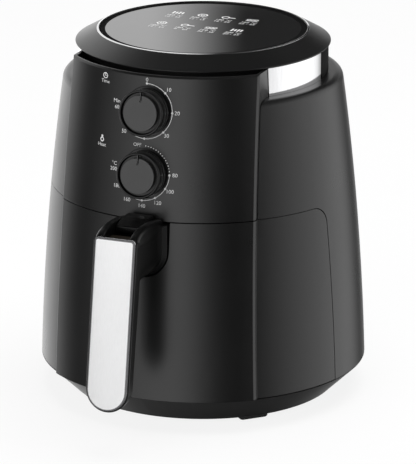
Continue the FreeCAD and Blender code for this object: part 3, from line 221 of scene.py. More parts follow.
# Partly painted light: the button's brown is its own, but its level is raised to make up for the shade of
# its recess.
button_brown = moulded("button brown plastic lightened as painted light", 0.0090, 0.35, warm=0.25)
rail_nylon = moulded("grey nylon", 0.24, 0.50, grain=900.0, depth=0.00003)
fan_plastic = moulded("dark grey nylon", 0.070, 0.45)
switch_plastic = moulded("switch plastic", 0.16, 0.50, warm=0.12)
foot_rubber = moulded("soft rubber", 0.014, 0.75, grain=800.0, depth=0.00006, edge=0.0008)
motor_case = moulded("painted motor case", 0.11, 0.40, grain=700.0, depth=0.00004)
print("materials so far:", len(bpy.data.materials))

# %% [markdown]
# Metals differ in how they were worked. Rolled sheet and drawn parts carry faint straight scratches. One
# material with a mirror finish would make them all look plated, so the noise is stretched along one axis
# into scratches, and a slow haze changes the gloss. Plated parts have hardly any scratches.

# %% Metals
def worked_metal(name, colour, roughness, stretch=(40, 40, 1.0), metallic=1.0, scratch=0.12, shade=0.86):
    made, tree, shader = new_material(name)
    lines = noise(tree, place(tree, stretch), scale=40.0, detail=5.0, rough=0.65)
    haze = noise(tree, place(tree), scale=14.0)
    dark = tuple(channel * shade for channel in colour)
    tint = blend(tree, spread(tree, lines, 0.0, 1.0), (*dark, 1), (*colour, 1))
    normal = bump(tree, lines, strength=scratch, distance=0.00002, normal=soft_edges(tree, 0.0004))
    put(tree, shader.inputs["Base Color"], tint)
    put(tree, shader.inputs["Roughness"], spread(tree, haze, roughness - 0.04, roughness + 0.05))
    put(tree, shader.inputs["Normal"], normal)
    put(tree, shader.inputs["Metallic"], metallic)
    return made


neck_chrome = worked_metal("dark chrome", (0.86, 0.86, 0.87), 0.08, scratch=0.02)
handle_silver = worked_metal("satin silver", (0.81, 0.81, 0.815), 0.42, stretch=(30, 30, 1.0),
                             metallic=0.25, scratch=0.02, shade=0.95)
# Painted shade: the rim's dark colour stands in for the bevel turned away from the light; its polish is
# real.
plate_rim_shade = worked_metal("polished rim with painted shade", (0.14, 0.14, 0.145), 0.22, metallic=0.4, scratch=0.03)
sheet_steel = worked_metal("rolled sheet steel", (0.58, 0.58, 0.57), 0.34)
bright_steel = worked_metal("bright drawn steel", (0.66, 0.66, 0.66), 0.24)
screw_steel = worked_metal("zinc-plated steel", (0.55, 0.55, 0.53), 0.35)
heater_sheath = worked_metal("heat-tinted tube", (0.22, 0.19, 0.17), 0.45)
fan_aluminium = worked_metal("pressed aluminium", (0.66, 0.66, 0.67), 0.38)
spindle_brass = worked_metal("turned brass", (0.66, 0.48, 0.20), 0.30)
print("materials so far:", len(bpy.data.materials))

# %% [markdown]
# The dial faces are turned on a lathe, so their lines run in rings about the dial's own axis. Cut grooves
# would cost many faces, so a ring wave in the dial's frame drives the tint and the bump. The pan's
# coating and the ceramic are flecked: small cells of a Voronoi texture give both the flecks and a slight
# relief.

# %% Dial faces, ceramic and the coated pan
def spun_face(name, level):
    made, tree, shader = new_material(name)
    inverse = dial_frame(level).inverted()
    where = place(tree, turn=inverse.to_euler(), origin=inverse.to_translation())
    rings = node(tree, "TexWave", {"wave_type": "RINGS", "rings_direction": "Z"}, Vector=where, Scale=900.0,
                 Distortion=1.5, Detail=2.0, Detail_Scale=3.0).outputs["Fac"]
    normal = bump(tree, rings, strength=0.10, distance=0.00002, normal=soft_edges(tree, 0.0003))
    put(tree, shader.inputs["Base Color"], blend(tree, rings, grey(0.040), grey(0.060)))
    put(tree, shader.inputs["Roughness"], spread(tree, noise(tree, where, scale=60.0), 0.34, 0.42))
    put(tree, shader.inputs["Normal"], normal)
    put(tree, shader.inputs["Metallic"], 0.55)
    return made


def flecked(name, level, fleck, roughness):
    made, tree, shader = new_material(name)
    where = place(tree)
    flecks = node(tree, "TexVoronoi", Vector=where, Scale=700.0).outputs["Distance"]
    share = spread(tree, flecks, 1.0, 0.0, from_low=0.05, from_high=0.25)
    gloss = spread(tree, noise(tree, where, scale=30.0), roughness - 0.05, roughness + 0.05)
    normal = bump(tree, flecks, strength=0.2, distance=0.00004, normal=soft_edges(tree, 0.0008))
    put(tree, shader.inputs["Base Color"], blend(tree, share, grey(level), grey(fleck)))
    put(tree, shader.inputs["Roughness"], gloss)
    put(tree, shader.inputs["Normal"], normal)
    return made


timer_face = spun_face("timer spun face", TIMER_LEVEL)
temperature_face = spun_face("temperature spun face", TEMPERATURE_LEVEL)
pan_coating = flecked("non-stick coating", 0.022, 0.075, 0.42)
white_ceramic = flecked("unglazed ceramic", 0.72, 0.62, 0.65)
print("materials so far:", len(bpy.data.materials))

# %% [markdown]
# The record names a finish for each CAD piece, so the finishes are handed out by that name and not piece
# by piece. The two dial faces share a name, but their rings run about different axes, so the temperature
# dial's cap gets a material of its own.

# %% Give every CAD piece its finish
FINISH = {
    "satin_black": satin_black, "base_black": base_black, "handle_black": handle_black,
    "cover_black": cover_black, "gloss_black": gloss_black, "dark_chrome": neck_chrome,
    "knob_black": knob_black, "handle_silver": handle_silver, "button_brown": button_brown,
    "foot_rubber": foot_rubber, "sheet_steel": sheet_steel, "bright_steel": bright_steel,
    "screw_steel": screw_steel, "heater_sheath": heater_sheath, "white_ceramic": white_ceramic,
    "motor_case": motor_case, "fan_aluminium": fan_aluminium, "fan_plastic": fan_plastic,
    "pan_coating": pan_coating, "rail_nylon": rail_nylon, "switch_plastic": switch_plastic,
    "spindle_brass": spindle_brass, "knob_face": timer_face,
}
slot_of = {item["node"]: item["material_slot"] for item in frame["record"]["subparts"]}
for name, piece in nodes.items():
    piece.data.materials.clear()
    piece.data.materials.append(FINISH[slot_of[name]])
nodes["temperature_cap"].data.materials[0] = temperature_face
print("finishes:", len(FINISH))

# %% [markdown]
# Print, the pointer's painted highlight and the near black of painted shade in slots and grooves are plain
# paints. A flat colour looks like a hole cut in the picture, so a fine noise varies each of them a little.

# %% Paints
def plain_paint(name, darker, lighter, roughness, shine=0.5):
    made, tree, shader = new_material(name)
    tint = blend(tree, noise(tree, place(tree), scale=900.0), grey(darker), grey(lighter))
    put(tree, shader.inputs["Base Color"], tint)
    put(tree, shader.inputs["Roughness"], roughness)
    put(tree, shader.inputs["Specular IOR Level"], shine)
    return made


print_paint = plain_paint("white print", 0.62, 0.78, 0.55)
# Painted highlight: the pale line beside the pointer slot stands in for light on the slot's left edge.
pointer_highlight_paint = plain_paint("painted pointer highlight", 0.075, 0.10, 0.5)
# Painted shade: a near black with hardly any shine, put on the pointer slot, the groove ring and the bead's
# inner wall.
painted_shade_black = plain_paint("painted shade black", 0.0015, 0.003, 0.8, shine=0.05)
print("materials so far:", len(bpy.data.materials))

# %% [markdown]
# Each new piece is shaped as a bmesh and then turned into an object. Its place is in its mesh, and it
# rides on the body that carries it, so that it moves with that body's joint. Faces have to look outwards.
# Recalculating the normals can turn a closed shape inside out, and its volume, which is then negative,
# tells. Flat print has no inside, so its faces are turned to look one way.

# %% From a bmesh to a piece
def show(name, shape, finish, body):
    """Turn a bmesh into an object that rides on a body."""
    mesh = bpy.data.meshes.new(name)
    shape.to_mesh(mesh)
    shape.free()
    mesh.materials.append(finish)
    piece = bpy.data.objects.new(name, mesh)
    bpy.context.scene.collection.objects.link(piece)
    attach(piece, body)
    print(name, "faces:", len(mesh.polygons))
    return piece


def show_solid(name, shape, finish, body, smooth):
    """Show a closed shape whose edges look soft up to an angle in degrees."""
    bmesh.ops.recalc_face_normals(shape, faces=shape.faces)
    if shape.calc_volume(signed=True) < 0:
        bmesh.ops.reverse_faces(shape, faces=shape.faces)
    piece = show(name, shape, finish, body)
    piece.data.polygons.foreach_set("use_smooth", [True] * len(piece.data.polygons))
    piece.data.set_sharp_from_angle(angle=math.radians(smooth))
    return piece


def show_print(name, shape, way):
    """Show flat print on the housing with its faces looking one way."""
    shape.normal_update()
    turned = [face for face in shape.faces if face.normal.dot(way) < 0]
    bmesh.ops.reverse_faces(shape, faces=turned)
    show(name, shape, print_paint, "housing")


# %% [markdown]
# The dial scales are white print. A picture of the scale would blur up close, so the print is geometry:
# flat strips and letters are drawn in the dial's own plane, and then each point is moved straight back
# onto the curved panel, a few hundredths of a millimetre in front of it.

# %% Print helpers
FORWARD = Vector((0, -1, 0))
UPWARD = Vector((0, 0, 1))
PRINT_LIFT = 0.00006
PRINT_SHIFT = -0.0015
DEGREES_PER_STEP = 3
FONT_PER_FIGURE = 1.4


def around_dial(radius, angle):
    """A point on a dial's plane; angles are clockwise from the top in degrees."""
    turn = math.radians(angle)
    return radius * math.sin(turn), radius * math.cos(turn)


def add_arc(shape, radius, width, start, stop):
    ends = [shape.verts.new((0, radius + side * width / 2, 0)) for side in (-1, 1)]
    line = shape.edges.new(ends)
    turn = Matrix.Rotation(-math.radians(start), 3, "Z")
    bmesh.ops.rotate(shape, verts=ends, cent=(0, 0, 0), matrix=turn)
    bmesh.ops.spin(shape, geom=[*ends, line], cent=(0, 0, 0), axis=(0, 0, -1),
                   angle=math.radians(stop - start), steps=round((stop - start) / DEGREES_PER_STEP))


def add_dot(shape, radius, angle, size):
    spot = Matrix.Translation((*around_dial(radius, angle), 0))
    bmesh.ops.create_circle(shape, cap_ends=True, segments=12, radius=size, matrix=spot)


def add_bar(shape, x, y, width, height):
    made = bmesh.ops.create_grid(shape, x_segments=1, y_segments=1, size=0.5)["verts"]
    bmesh.ops.scale(shape, vec=(width, height, 1), verts=made)
    bmesh.ops.translate(shape, vec=(x, y, 0), verts=made)


def add_ring(shape, x, y, radius, width):
    made = bmesh.ops.create_circle(shape, cap_ends=True, segments=24, radius=radius)["verts"]
    bmesh.ops.translate(shape, vec=(x, y, 0), verts=made)
    face = made[0].link_faces[0]
    bmesh.ops.inset_region(shape, faces=[face], thickness=width, use_boundary=True)
    bmesh.ops.delete(shape, geom=[face], context="FACES_ONLY")


def add_text(shape, words, x, y, height):
    curve = bpy.data.curves.new("words", "FONT")
    curve.body = words
    curve.size = height * FONT_PER_FIGURE
    curve.align_x = "CENTER"
    curve.align_y = "CENTER"
    curve.resolution_u = 3
    writing = bpy.data.objects.new("words", curve)
    bpy.context.scene.collection.objects.link(writing)
    bpy.context.view_layer.update()
    mesh = writing.to_mesh().copy()
    bpy.data.objects.remove(writing)
    mesh.transform(Matrix.Translation((x, y, 0)))
    shape.from_mesh(mesh)
    bpy.data.meshes.remove(mesh)


def lay_on_panel(shape, level):
    """Move flat print from a dial's plane onto the curved panel."""
    centred = dial_frame(level) @ Matrix.Translation((PRINT_SHIFT, 0, 0))
    bmesh.ops.transform(shape, matrix=centred, verts=shape.verts)
    for corner in shape.verts:
        corner.co.y = panel_y(corner.co.x, corner.co.z) - PRINT_LIFT


# %% [markdown]
# The timer runs from 0 to 60 minutes in 270 degrees, so ten minutes take 45 degrees. The figure for 40
# would meet the word above the lower dial, so the real scale leaves it out, and so does this one. A small
# clock stands at the upper left with its heading below it.

# %% Timer scale
SCALE_RADIUS = 0.0213
SCALE_WIDTH = 0.0005
MARK_RADIUS = 0.0009
FIGURE_RADIUS = 0.0250
FIGURE_HEIGHT = 0.0030
HEADING_HEIGHT = 0.0028
ZERO_RADIUS = 0.0240
TIMER_SWEEP = 270
TIMER_MINUTES = 60
MINUTES_PER_MARK = 10
LEFT_OUT = 40
MINUTES_SPOT = (-0.0252, 0.0047)
CLOCK_X, CLOCK_Y = -0.0373, 0.0222
TIME_SPOT = (-0.0371, 0.0178)

timer_print = bmesh.new()
add_arc(timer_print, SCALE_RADIUS, SCALE_WIDTH, 0, TIMER_SWEEP)
for minutes in range(0, TIMER_MINUTES + 1, MINUTES_PER_MARK):
    angle = TIMER_SWEEP * minutes / TIMER_MINUTES
    add_dot(timer_print, SCALE_RADIUS, angle, MARK_RADIUS)
    if minutes != LEFT_OUT:
        figure_spot = around_dial(FIGURE_RADIUS if minutes else ZERO_RADIUS, angle)
        add_text(timer_print, str(minutes), *figure_spot, FIGURE_HEIGHT)
add_text(timer_print, "Min", *MINUTES_SPOT, FIGURE_HEIGHT)
add_ring(timer_print, CLOCK_X, CLOCK_Y, radius=0.0023, width=0.0007)
add_bar(timer_print, CLOCK_X, CLOCK_Y + 0.0006, width=0.0006, height=0.0017)
add_bar(timer_print, CLOCK_X + 0.0004, CLOCK_Y - 0.0001, width=0.0011, height=0.0006)
add_text(timer_print, "Time", *TIME_SPOT, HEADING_HEIGHT)
lay_on_panel(timer_print, TIMER_LEVEL)
show_print("timer_scale", timer_print, FORWARD)

# %% [markdown]
# The temperature scale starts at a quarter turn with 80 and gains 20 degrees of heat every 30 degrees. A
# dotted stretch leads there from the word at the top, where the dial rests. Its sign is a drop-like flame
# out of a ring and a bar.

# %% Temperature scale
HEAT_START = 90
HEAT_STOP = 270
LOWEST_HEAT = 80
HIGHEST_HEAT = 200
HEAT_PER_MARK = 20
DOT_ANGLES = range(4, HEAT_START - 2, 6)
DOT_RADIUS = 0.00042
HEAT_FIGURE_RADIUS = 0.0256
OFF_SPOT = (-0.0056, 0.0214)
DEGREES_SPOT = (-0.0250, 0.0043)
FLAME_X, FLAME_Y = -0.0376, 0.0207
HEAT_SPOT = (-0.0376, 0.0167)

temperature_print = bmesh.new()
add_arc(temperature_print, SCALE_RADIUS, SCALE_WIDTH, HEAT_START, HEAT_STOP)
for angle in DOT_ANGLES:
    add_dot(temperature_print, SCALE_RADIUS, angle, DOT_RADIUS)
for heat in range(LOWEST_HEAT, HIGHEST_HEAT + 1, HEAT_PER_MARK):
    share = (heat - LOWEST_HEAT) / (HIGHEST_HEAT - LOWEST_HEAT)
    angle = HEAT_START + (HEAT_STOP - HEAT_START) * share
    add_dot(temperature_print, SCALE_RADIUS, angle, MARK_RADIUS)
    add_text(temperature_print, str(heat), *around_dial(HEAT_FIGURE_RADIUS, angle), FIGURE_HEIGHT)
add_text(temperature_print, "OFF", *OFF_SPOT, HEADING_HEIGHT)
add_text(temperature_print, "°C", *DEGREES_SPOT, FIGURE_HEIGHT)
add_ring(temperature_print, FLAME_X, FLAME_Y, radius=0.0018, width=0.0008)
add_bar(temperature_print, FLAME_X, FLAME_Y + 0.0024, width=0.0015, height=0.0020)
add_text(temperature_print, "Heat", *HEAT_SPOT, HEADING_HEIGHT)
lay_on_panel(temperature_print, TEMPERATURE_LEVEL)
show_print("temperature_scale", temperature_print, FORWARD)

# %% [markdown]
# The polished plate on top carries two rows of small cooking signs. They are plain signs made for this
# part: sticks, a hoop, a leg, and balls on a tray. Each is put together from bars and rings, because at a
# few millimetres no more can be seen, and stands above a figure for heat and a figure for minutes.

# %% Cooking signs
def add_sticks(shape, x, y):
    for step in range(4):
        add_bar(shape, x + (step - 1.5) * 0.0026, y, width=0.0014, height=0.0070 - 0.0014 * (step % 2))


def add_hoop(shape, x, y):
    add_ring(shape, x, y, radius=0.0042, width=0.0011)
    add_ring(shape, x, y, radius=0.0018, width=0.0008)


def add_leg(shape, x, y):
    add_ring(shape, x - 0.0014, y, radius=0.0034, width=0.0011)
    add_bar(shape, x + 0.0044, y, width=0.0050, height=0.0014)


def add_tray(shape, x, y):
    add_bar(shape, x, y - 0.0028, width=0.0096, height=0.0012)
    for step in (-1, 0, 1):
        add_ring(shape, x + step * 0.0032, y + 0.0004, radius=0.0018, width=0.0008)


# %% [markdown]
# The signs stand in two rows of four. The second row starts one sign further on, so that no sign stands
# below its like. All of them are one mesh, because print on one surface is one coat of paint.

# %% Signs on the top plate
PLATE_TOP = 0.2917
SIGNS = (add_sticks, add_hoop, add_leg, add_tray)
SIGN_COLUMNS = (-0.0360, -0.0150, 0.0060, 0.0275)
SIGN_ROWS = (0.0305, -0.0038)
SIGN_FIGURES = (
    ("180 °C", "10 - 12"), ("200 °C", "12 - 15"), ("180 °C", "16 - 20"), ("160 °C", "22 - 25"),
    ("200 °C", "15 - 18"), ("180 °C", "8 - 10"), ("160 °C", "26 - 30"), ("200 °C", "20 - 25"),
)
SIGN_RISE = 0.0060
LINE_DROP = 0.0024
LINE_PITCH = 0.0046
LINE_HEIGHT = 0.0034

plate_print = bmesh.new()
for index, figures in enumerate(SIGN_FIGURES):
    row, column = divmod(index, len(SIGN_COLUMNS))
    x, y = SIGN_COLUMNS[column], SIGN_ROWS[row]
    add_sign = SIGNS[(index + row) % len(SIGNS)]
    add_sign(plate_print, x, y + SIGN_RISE)
    for line, figure in enumerate(figures):
        add_text(plate_print, figure, x, y - LINE_DROP - LINE_PITCH * line, LINE_HEIGHT)
bmesh.ops.translate(plate_print, vec=(0, AXIS_Y, PLATE_TOP + PRINT_LIFT), verts=plate_print.verts)
show_print("plate_signs", plate_print, UPWARD)

# %% [markdown]
# Most of the small forms start as a closed profile that is spun about an axis, or as a side view that is
# pulled across a width. Their edges are then rounded with a bevel, which also shows in the mesh's
# outline, as a bump would not.

# %% Shape helpers
NEAR = 0.00001


def add_lathe(shape, profile, frame_matrix, steps):
    """Spin a profile of radius and height pairs about the Z axis of a frame."""
    points = [shape.verts.new((radius, 0, height)) for radius, height in profile]
    lines = [shape.edges.new(pair) for pair in zip(points, points[1:] + points[:1])]
    bmesh.ops.spin(shape, geom=points + lines, cent=(0, 0, 0), axis=(0, 0, 1), angle=math.tau, steps=steps,
                   use_merge=True)
    bmesh.ops.remove_doubles(shape, verts=shape.verts, dist=NEAR / 10)
    bmesh.ops.transform(shape, matrix=frame_matrix, verts=shape.verts)


def add_block(shape, low, high):
    """A box between two corners."""
    made = bmesh.ops.create_cube(shape, size=1.0)["verts"]
    bmesh.ops.scale(shape, vec=Vector(high) - Vector(low), verts=made)
    bmesh.ops.translate(shape, vec=(Vector(low) + Vector(high)) / 2, verts=made)


def pull(shape, faces, way):
    """Extrude faces along a vector."""
    pulled = bmesh.ops.extrude_face_region(shape, geom=faces)["geom"]
    moved = [item for item in pulled if isinstance(item, bmesh.types.BMVert)]
    bmesh.ops.translate(shape, vec=way, verts=moved)


def add_prism(shape, outline, start, stop):
    """Pull a side view, given as reach in front of the axis and height, from one width to another."""
    face = shape.faces.new([shape.verts.new((start, AXIS_Y - reach, z)) for reach, z in outline])
    pull(shape, [face], (stop - start, 0, 0))


def rim_edges(shape, half, above):
    """Edges that lie in the planes X = half and X = -half and above a height."""
    return [edge for edge in shape.edges
            if all(abs(abs(end.co.x) - half) < NEAR and end.co.z > above for end in edge.verts)]


def round_over(shape, edges, offset, segments):
    bmesh.ops.bevel(shape, geom=edges, offset=offset, segments=segments, profile=0.5, affect="EDGES",
                    material=-1)


# %% [markdown]
# A dial knob is a shape of revolution, so one profile is drawn on paper and spun about the dial's axis.
# Its wall ends in a thin lip, and a deep groove between lip and face disc stays black. The heights are
# measured from the panel along the dial's axis. The pointer is a small rounded block each: a thin pale
# line, a painted highlight of the slot's edge, beside a black slot of painted shade.

# %% Dial knobs
KNOB_PROFILE = (
    (0.0040, 0.0006), (0.0174, 0.0006), (0.0177, 0.0009), (0.0177, 0.0028), (0.0174, 0.0032),
    (0.0166, 0.0033), (0.0166, 0.0044), (0.0175, 0.0047), (0.0177, 0.0052), (0.0178, 0.0086),
    (0.0172, 0.0088), (0.0172, 0.0093), (0.0179, 0.0095), (0.0180, 0.0132), (0.0178, 0.0137),
    (0.0173, 0.0141), (0.0168, 0.0142), (0.0163, 0.0140), (0.0160, 0.0135), (0.0157, 0.0112),
    (0.0040, 0.0112),
)
POINTER_INNER, POINTER_OUTER = 0.0100, 0.0160
POINTER_LOW, POINTER_HIGH = 0.0141, 0.0151
POINTER_LEFT, POINTER_MIDDLE, POINTER_RIGHT = -0.0006, -0.0001, 0.0009
# The slot is painted shade, and the pale line beside it is a painted highlight.
POINTER_PARTS = (
    ("slot", painted_shade_black, POINTER_MIDDLE, POINTER_RIGHT),
    ("line", pointer_highlight_paint, POINTER_LEFT, POINTER_MIDDLE),
)

for name, level in (("timer", TIMER_LEVEL), ("temperature", TEMPERATURE_LEVEL)):
    knob = bmesh.new()
    add_lathe(knob, KNOB_PROFILE, dial_frame(level), steps=96)
    body = name + "_dial"
    piece = show_solid(name + "_knob_body", knob, knob_black, body, smooth=25)
    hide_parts(name + "_knob")
    for part, finish, left, right in POINTER_PARTS:
        pointer = bmesh.new()
        add_block(pointer, (left, POINTER_INNER, POINTER_LOW), (right, POINTER_OUTER, POINTER_HIGH))
        round_over(pointer, pointer.edges, offset=0.0001, segments=2)
        bmesh.ops.transform(pointer, matrix=dial_frame(level), verts=pointer.verts)
        show_solid(f"{name}_pointer_{part}", pointer, finish, body, smooth=30)

# %% [markdown]
# A thin polished bead lies on the lip round the top plate, with a black groove inside it: a flat black ring
# of painted shade. Both are small closed profiles spun about the fryer's own axis. The bead's inner wall is
# black like the groove, a painted dark reflection, because a polished one would mirror the studio along the
# plate's rear edge.

# %% Rings round the top plate
BEAD_INNER, BEAD_OUTER = 0.08210, 0.08380
BEAD_FOOT = 0.2912
BEAD_PROFILE = (
    (BEAD_INNER, BEAD_FOOT), (BEAD_INNER, 0.29270), (0.08216, 0.29274), (0.08360, 0.29244),
    (BEAD_OUTER, 0.2920), (BEAD_OUTER, BEAD_FOOT),
)
GROOVE_PROFILE = ((0.07700, 0.2914), (0.07705, 0.29176), (0.08195, 0.29176), (0.08200, 0.2914))
RING_STEPS = 160
upright_axis = Matrix.Translation((0, AXIS_Y, 0))

bead = bmesh.new()
add_lathe(bead, BEAD_PROFILE, upright_axis, RING_STEPS)
# Faces of the inner wall get the near black of painted shade, a painted dark reflection.
for face in bead.faces:
    from_axis = face.calc_center_median() - upright_axis.translation
    face.material_index = int(from_axis.xy.length < BEAD_INNER + NEAR)
bead_piece = show_solid("plate_bead", bead, neck_chrome, "housing", smooth=40)
bead_piece.data.materials.append(painted_shade_black)
# The groove is a flat black ring of painted shade.
groove = bmesh.new()
add_lathe(groove, GROOVE_PROFILE, upright_axis, RING_STEPS)
show_solid("plate_groove", groove, painted_shade_black, "housing", smooth=40)

# %% [markdown]
# The chrome shows only at the sides of the neck: a matt black sleeve over the rear of the band is a painted
# dark reflection, the dark that the chrome mirrors there. It is the same kind of profile, but spun through
# an arc that leaves out the front, and drawn as a face so that its ends are closed.

# %% Neck sleeve
SLEEVE_INNER, SLEEVE_EDGE, SLEEVE_OUTER = 0.0979, 0.0985, 0.0986
SLEEVE_LOW, SLEEVE_HIGH = 0.2592, 0.2816
SLEEVE_PROFILE = (
    (SLEEVE_INNER, SLEEVE_LOW), (SLEEVE_EDGE, SLEEVE_LOW), (SLEEVE_OUTER, 0.2600), (SLEEVE_OUTER, 0.2810),
    (SLEEVE_EDGE, SLEEVE_HIGH), (SLEEVE_INNER, SLEEVE_HIGH),
)
SLEEVE_START = math.radians(91.5)

sleeve = bmesh.new()
section = sleeve.faces.new([sleeve.verts.new((0, -radius, height)) for radius, height in SLEEVE_PROFILE])
bmesh.ops.rotate(sleeve, matrix=Matrix.Rotation(SLEEVE_START, 3, "Z"), verts=sleeve.verts)
bmesh.ops.spin(sleeve, geom=[section], cent=(0, 0, 0), axis=(0, 0, 1), angle=math.tau - 2 * SLEEVE_START,
               steps=96)
bmesh.ops.transform(sleeve, matrix=upright_axis, verts=sleeve.verts)
show_solid("neck_sleeve_dark_reflection", sleeve, sleeve_reflection_black, "housing", smooth=40)

# %% [markdown]
# The handle's upper end is a soft hump: two cheeks rise behind the silver plate and curve back to the
# panel. Each cheek is its side view, a quarter of an ellipse with a falling back, drawn once and pulled
# across its width. A wide bevel rounds its outer edge and a narrow one its inner edge.

# %% Handle cheeks
GRIP_HALF = 0.01775
GRIP_LOW = 0.0376
GRIP_TOP = 0.1680
SKIN = 0.00003
CHEEK_SIDE = GRIP_HALF + SKIN
CHEEK_INNER = 0.0108
CHEEK_LOW = 0.1640
CHEEK_RISE = 0.0072
CHEEK_CREST = 0.1550
CHEEK_REACH = 0.0205
CHEEK_REAR = 0.1262
CHEEK_BACK = ((0.1464, 0.1750), (0.1380, 0.1744), (0.1310, 0.1730), (CHEEK_REAR, 0.1722))
ROUNDED_FROM = GRIP_TOP - 10 * NEAR


def cheek_point(angle):
    turn = math.radians(angle)
    return CHEEK_CREST + CHEEK_REACH * math.cos(turn), GRIP_TOP + CHEEK_RISE * math.sin(turn)


cheek_front = [cheek_point(angle) for angle in range(0, 91, 9)]
cheek_outline = [
    (CHEEK_CREST + CHEEK_REACH, CHEEK_LOW), *cheek_front, *CHEEK_BACK, (CHEEK_REAR, CHEEK_LOW),
]
cheeks = bmesh.new()
for hand in (-1, 1):
    add_prism(cheeks, cheek_outline, hand * CHEEK_INNER, hand * CHEEK_SIDE)
round_over(cheeks, rim_edges(cheeks, CHEEK_SIDE, ROUNDED_FROM), offset=0.0030, segments=6)
round_over(cheeks, rim_edges(cheeks, CHEEK_INNER, ROUNDED_FROM), offset=0.0009, segments=3)
show_solid("handle_cheeks", cheeks, handle_black, "drawer", smooth=35)

# %% [markdown]
# The guard slides forward between the cheeks and keeps a hand off the release button. It is low at its
# front lip and swells towards the panel, so its side view is drawn and pulled across like that of a
# cheek.

# %% Button guard
GUARD_HALF = 0.0104
GUARD_OUTLINE = (
    (0.1264, 0.1634), (0.1264, 0.1746), (0.1275, 0.1755), (0.1380, 0.1756), (0.1440, 0.1748),
    (0.1490, 0.1732), (0.1512, 0.1727), (0.1522, 0.1718), (0.1525, 0.1704), (0.1522, 0.1674),
    (0.1398, 0.1672), (0.1398, 0.1634),
)

guard = bmesh.new()
add_prism(guard, GUARD_OUTLINE, -GUARD_HALF, GUARD_HALF)
round_over(guard, rim_edges(guard, GUARD_HALF, above=0), offset=0.0009, segments=3)
guard_piece = show_solid("button_guard", guard, handle_black, "guard", smooth=35)
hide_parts("release_guard")

# %% [markdown]
# The silver plate lies on the leaning front of the grip. A flat sheet gets its round corners by bevelling
# its four corners, the lower two with nearly the full half width. It is then pulled to its thickness, and
# the edge of its front is bevelled; the bevel, with its darker colour of painted shade, draws the thin grey
# lines along its top and right side.

# %% Silver plate
PLATE_HALF = 0.0166
PLATE_LOW = 0.0388
PLATE_HIGH = 0.1702
PLATE_MIDDLE = (PLATE_LOW + PLATE_HIGH) / 2
PLATE_PROUD = 0.0015
PLATE_SUNK = 0.0006
UPPER_CORNER = 0.0032
LOWER_CORNER = PLATE_HALF * 0.995
GRIP_TOP_REACH = 0.1771
GRIP_LOW_REACH = 0.1979
LEAN = math.atan2(GRIP_LOW_REACH - GRIP_TOP_REACH, GRIP_TOP - GRIP_LOW)

plate = bmesh.new()
made = bmesh.ops.create_grid(plate, x_segments=1, y_segments=1, size=0.5)["verts"]
bmesh.ops.scale(plate, vec=(2 * PLATE_HALF, (PLATE_HIGH - PLATE_LOW) / math.cos(LEAN), 1), verts=made)
for upper, radius in ((True, UPPER_CORNER), (False, LOWER_CORNER)):
    corners = [corner for corner in plate.verts if (corner.co.y > 0) == upper]
    bmesh.ops.bevel(plate, geom=corners, offset=radius, segments=16, profile=0.5, affect="VERTICES",
                    material=-1)
pull(plate, list(plate.faces), (0, 0, PLATE_PROUD + PLATE_SUNK))
front = max(plate.faces, key=lambda item: item.calc_center_median().z)
round_over(plate, list(front.edges), offset=0.0015, segments=2)

# %% [markdown]
# Faces that lean, and so belong to the bevel, get the darker rim: polished, with a colour of painted shade.
# The plate is then stood up, leant back like the grip and let into it by a fraction of a millimetre, so
# that no gap shows behind it.

# %% Silver plate on the grip
LOOKS_ASIDE = 0.15
LOOKS_AHEAD = 0.98

plate.normal_update()
for face in plate.faces:
    face.material_index = int(LOOKS_ASIDE < face.normal.z < LOOKS_AHEAD)
plate_reach = GRIP_TOP_REACH + (GRIP_TOP - PLATE_MIDDLE) * math.tan(LEAN)
spot = Matrix.Translation((0, AXIS_Y - plate_reach, PLATE_MIDDLE))
stand = spot @ Matrix.Rotation(math.pi / 2 - LEAN, 4, "X") @ Matrix.Translation((0, 0, -PLATE_SUNK))
bmesh.ops.transform(plate, matrix=stand, verts=plate.verts)
plate_piece = show_solid("silver_plate", plate, handle_silver, "drawer", smooth=25)
plate_piece.data.materials.append(plate_rim_shade)
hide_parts("handle_plate")

# %% [markdown]
# The studio is a world whose brightness depends on the compass direction and the height above the
# horizon: a broad light in front, a dark gap to its right, a soft wall on the right and another behind
# the left shoulder. Black plastic shows little but such reflections, so they carry the shape. Lamps of
# that size could do it too, but a ramp of grey over the compass is easier to tune. Nought is the front,
# and angles grow to the right.

# %% Light round the compass
AZIMUTH_LIGHT = (
    (-180, 0.2), (-168, 0.7), (-150, 1.35), (-124, 1.6), (-104, 1.5), (-92, 0.35), (-78, 0.0),
    (-62, 0.20), (-30, 1.3), (2, 1.9), (14, 1.3), (26, 0.20), (38, 0.0), (52, 0.0), (66, 0.35),
    (88, 1.1), (112, 1.45), (136, 1.45), (152, 1.1), (162, 0.30), (172, 0.0), (180, 0.2),
)
BRIGHTEST = max(level for _, level in AZIMUTH_LIGHT)

world = bpy.data.worlds.new("studio")
bpy.context.scene.world = world
world.use_nodes = True
sky_tree = world.node_tree
sky_tree.nodes.clear()
away = node(sky_tree, "SeparateXYZ", Vector=node(sky_tree, "TexCoord").outputs["Generated"])
forward = combine(sky_tree, "MULTIPLY", away.outputs["Y"], -1.0)
compass = combine(sky_tree, "ARCTAN2", away.outputs["X"], forward)
ramp = node(sky_tree, "ValToRGB", Fac=spread(sky_tree, compass, 0.0, 1.0, -math.pi, math.pi))
ramp.color_ramp.interpolation = "B_SPLINE"
stops = ramp.color_ramp.elements
ready = len(stops)
for index, (angle, level) in enumerate(AZIMUTH_LIGHT):
    along = (angle + 180) / 360
    stop = stops[index] if index < ready else stops.new(along)
    stop.position = along
    stop.color = grey(level / BRIGHTEST)
print("stops of light:", len(stops))

# %% [markdown]
# The light fades towards the zenith and towards the ground, so that the top of the fryer stays calm. The
# camera itself sees plain white in place of the studio.

# %% Light over the horizon
FADE_START = 0.38
FADE_STOP = 0.82
ZENITH_SHARE = 0.08

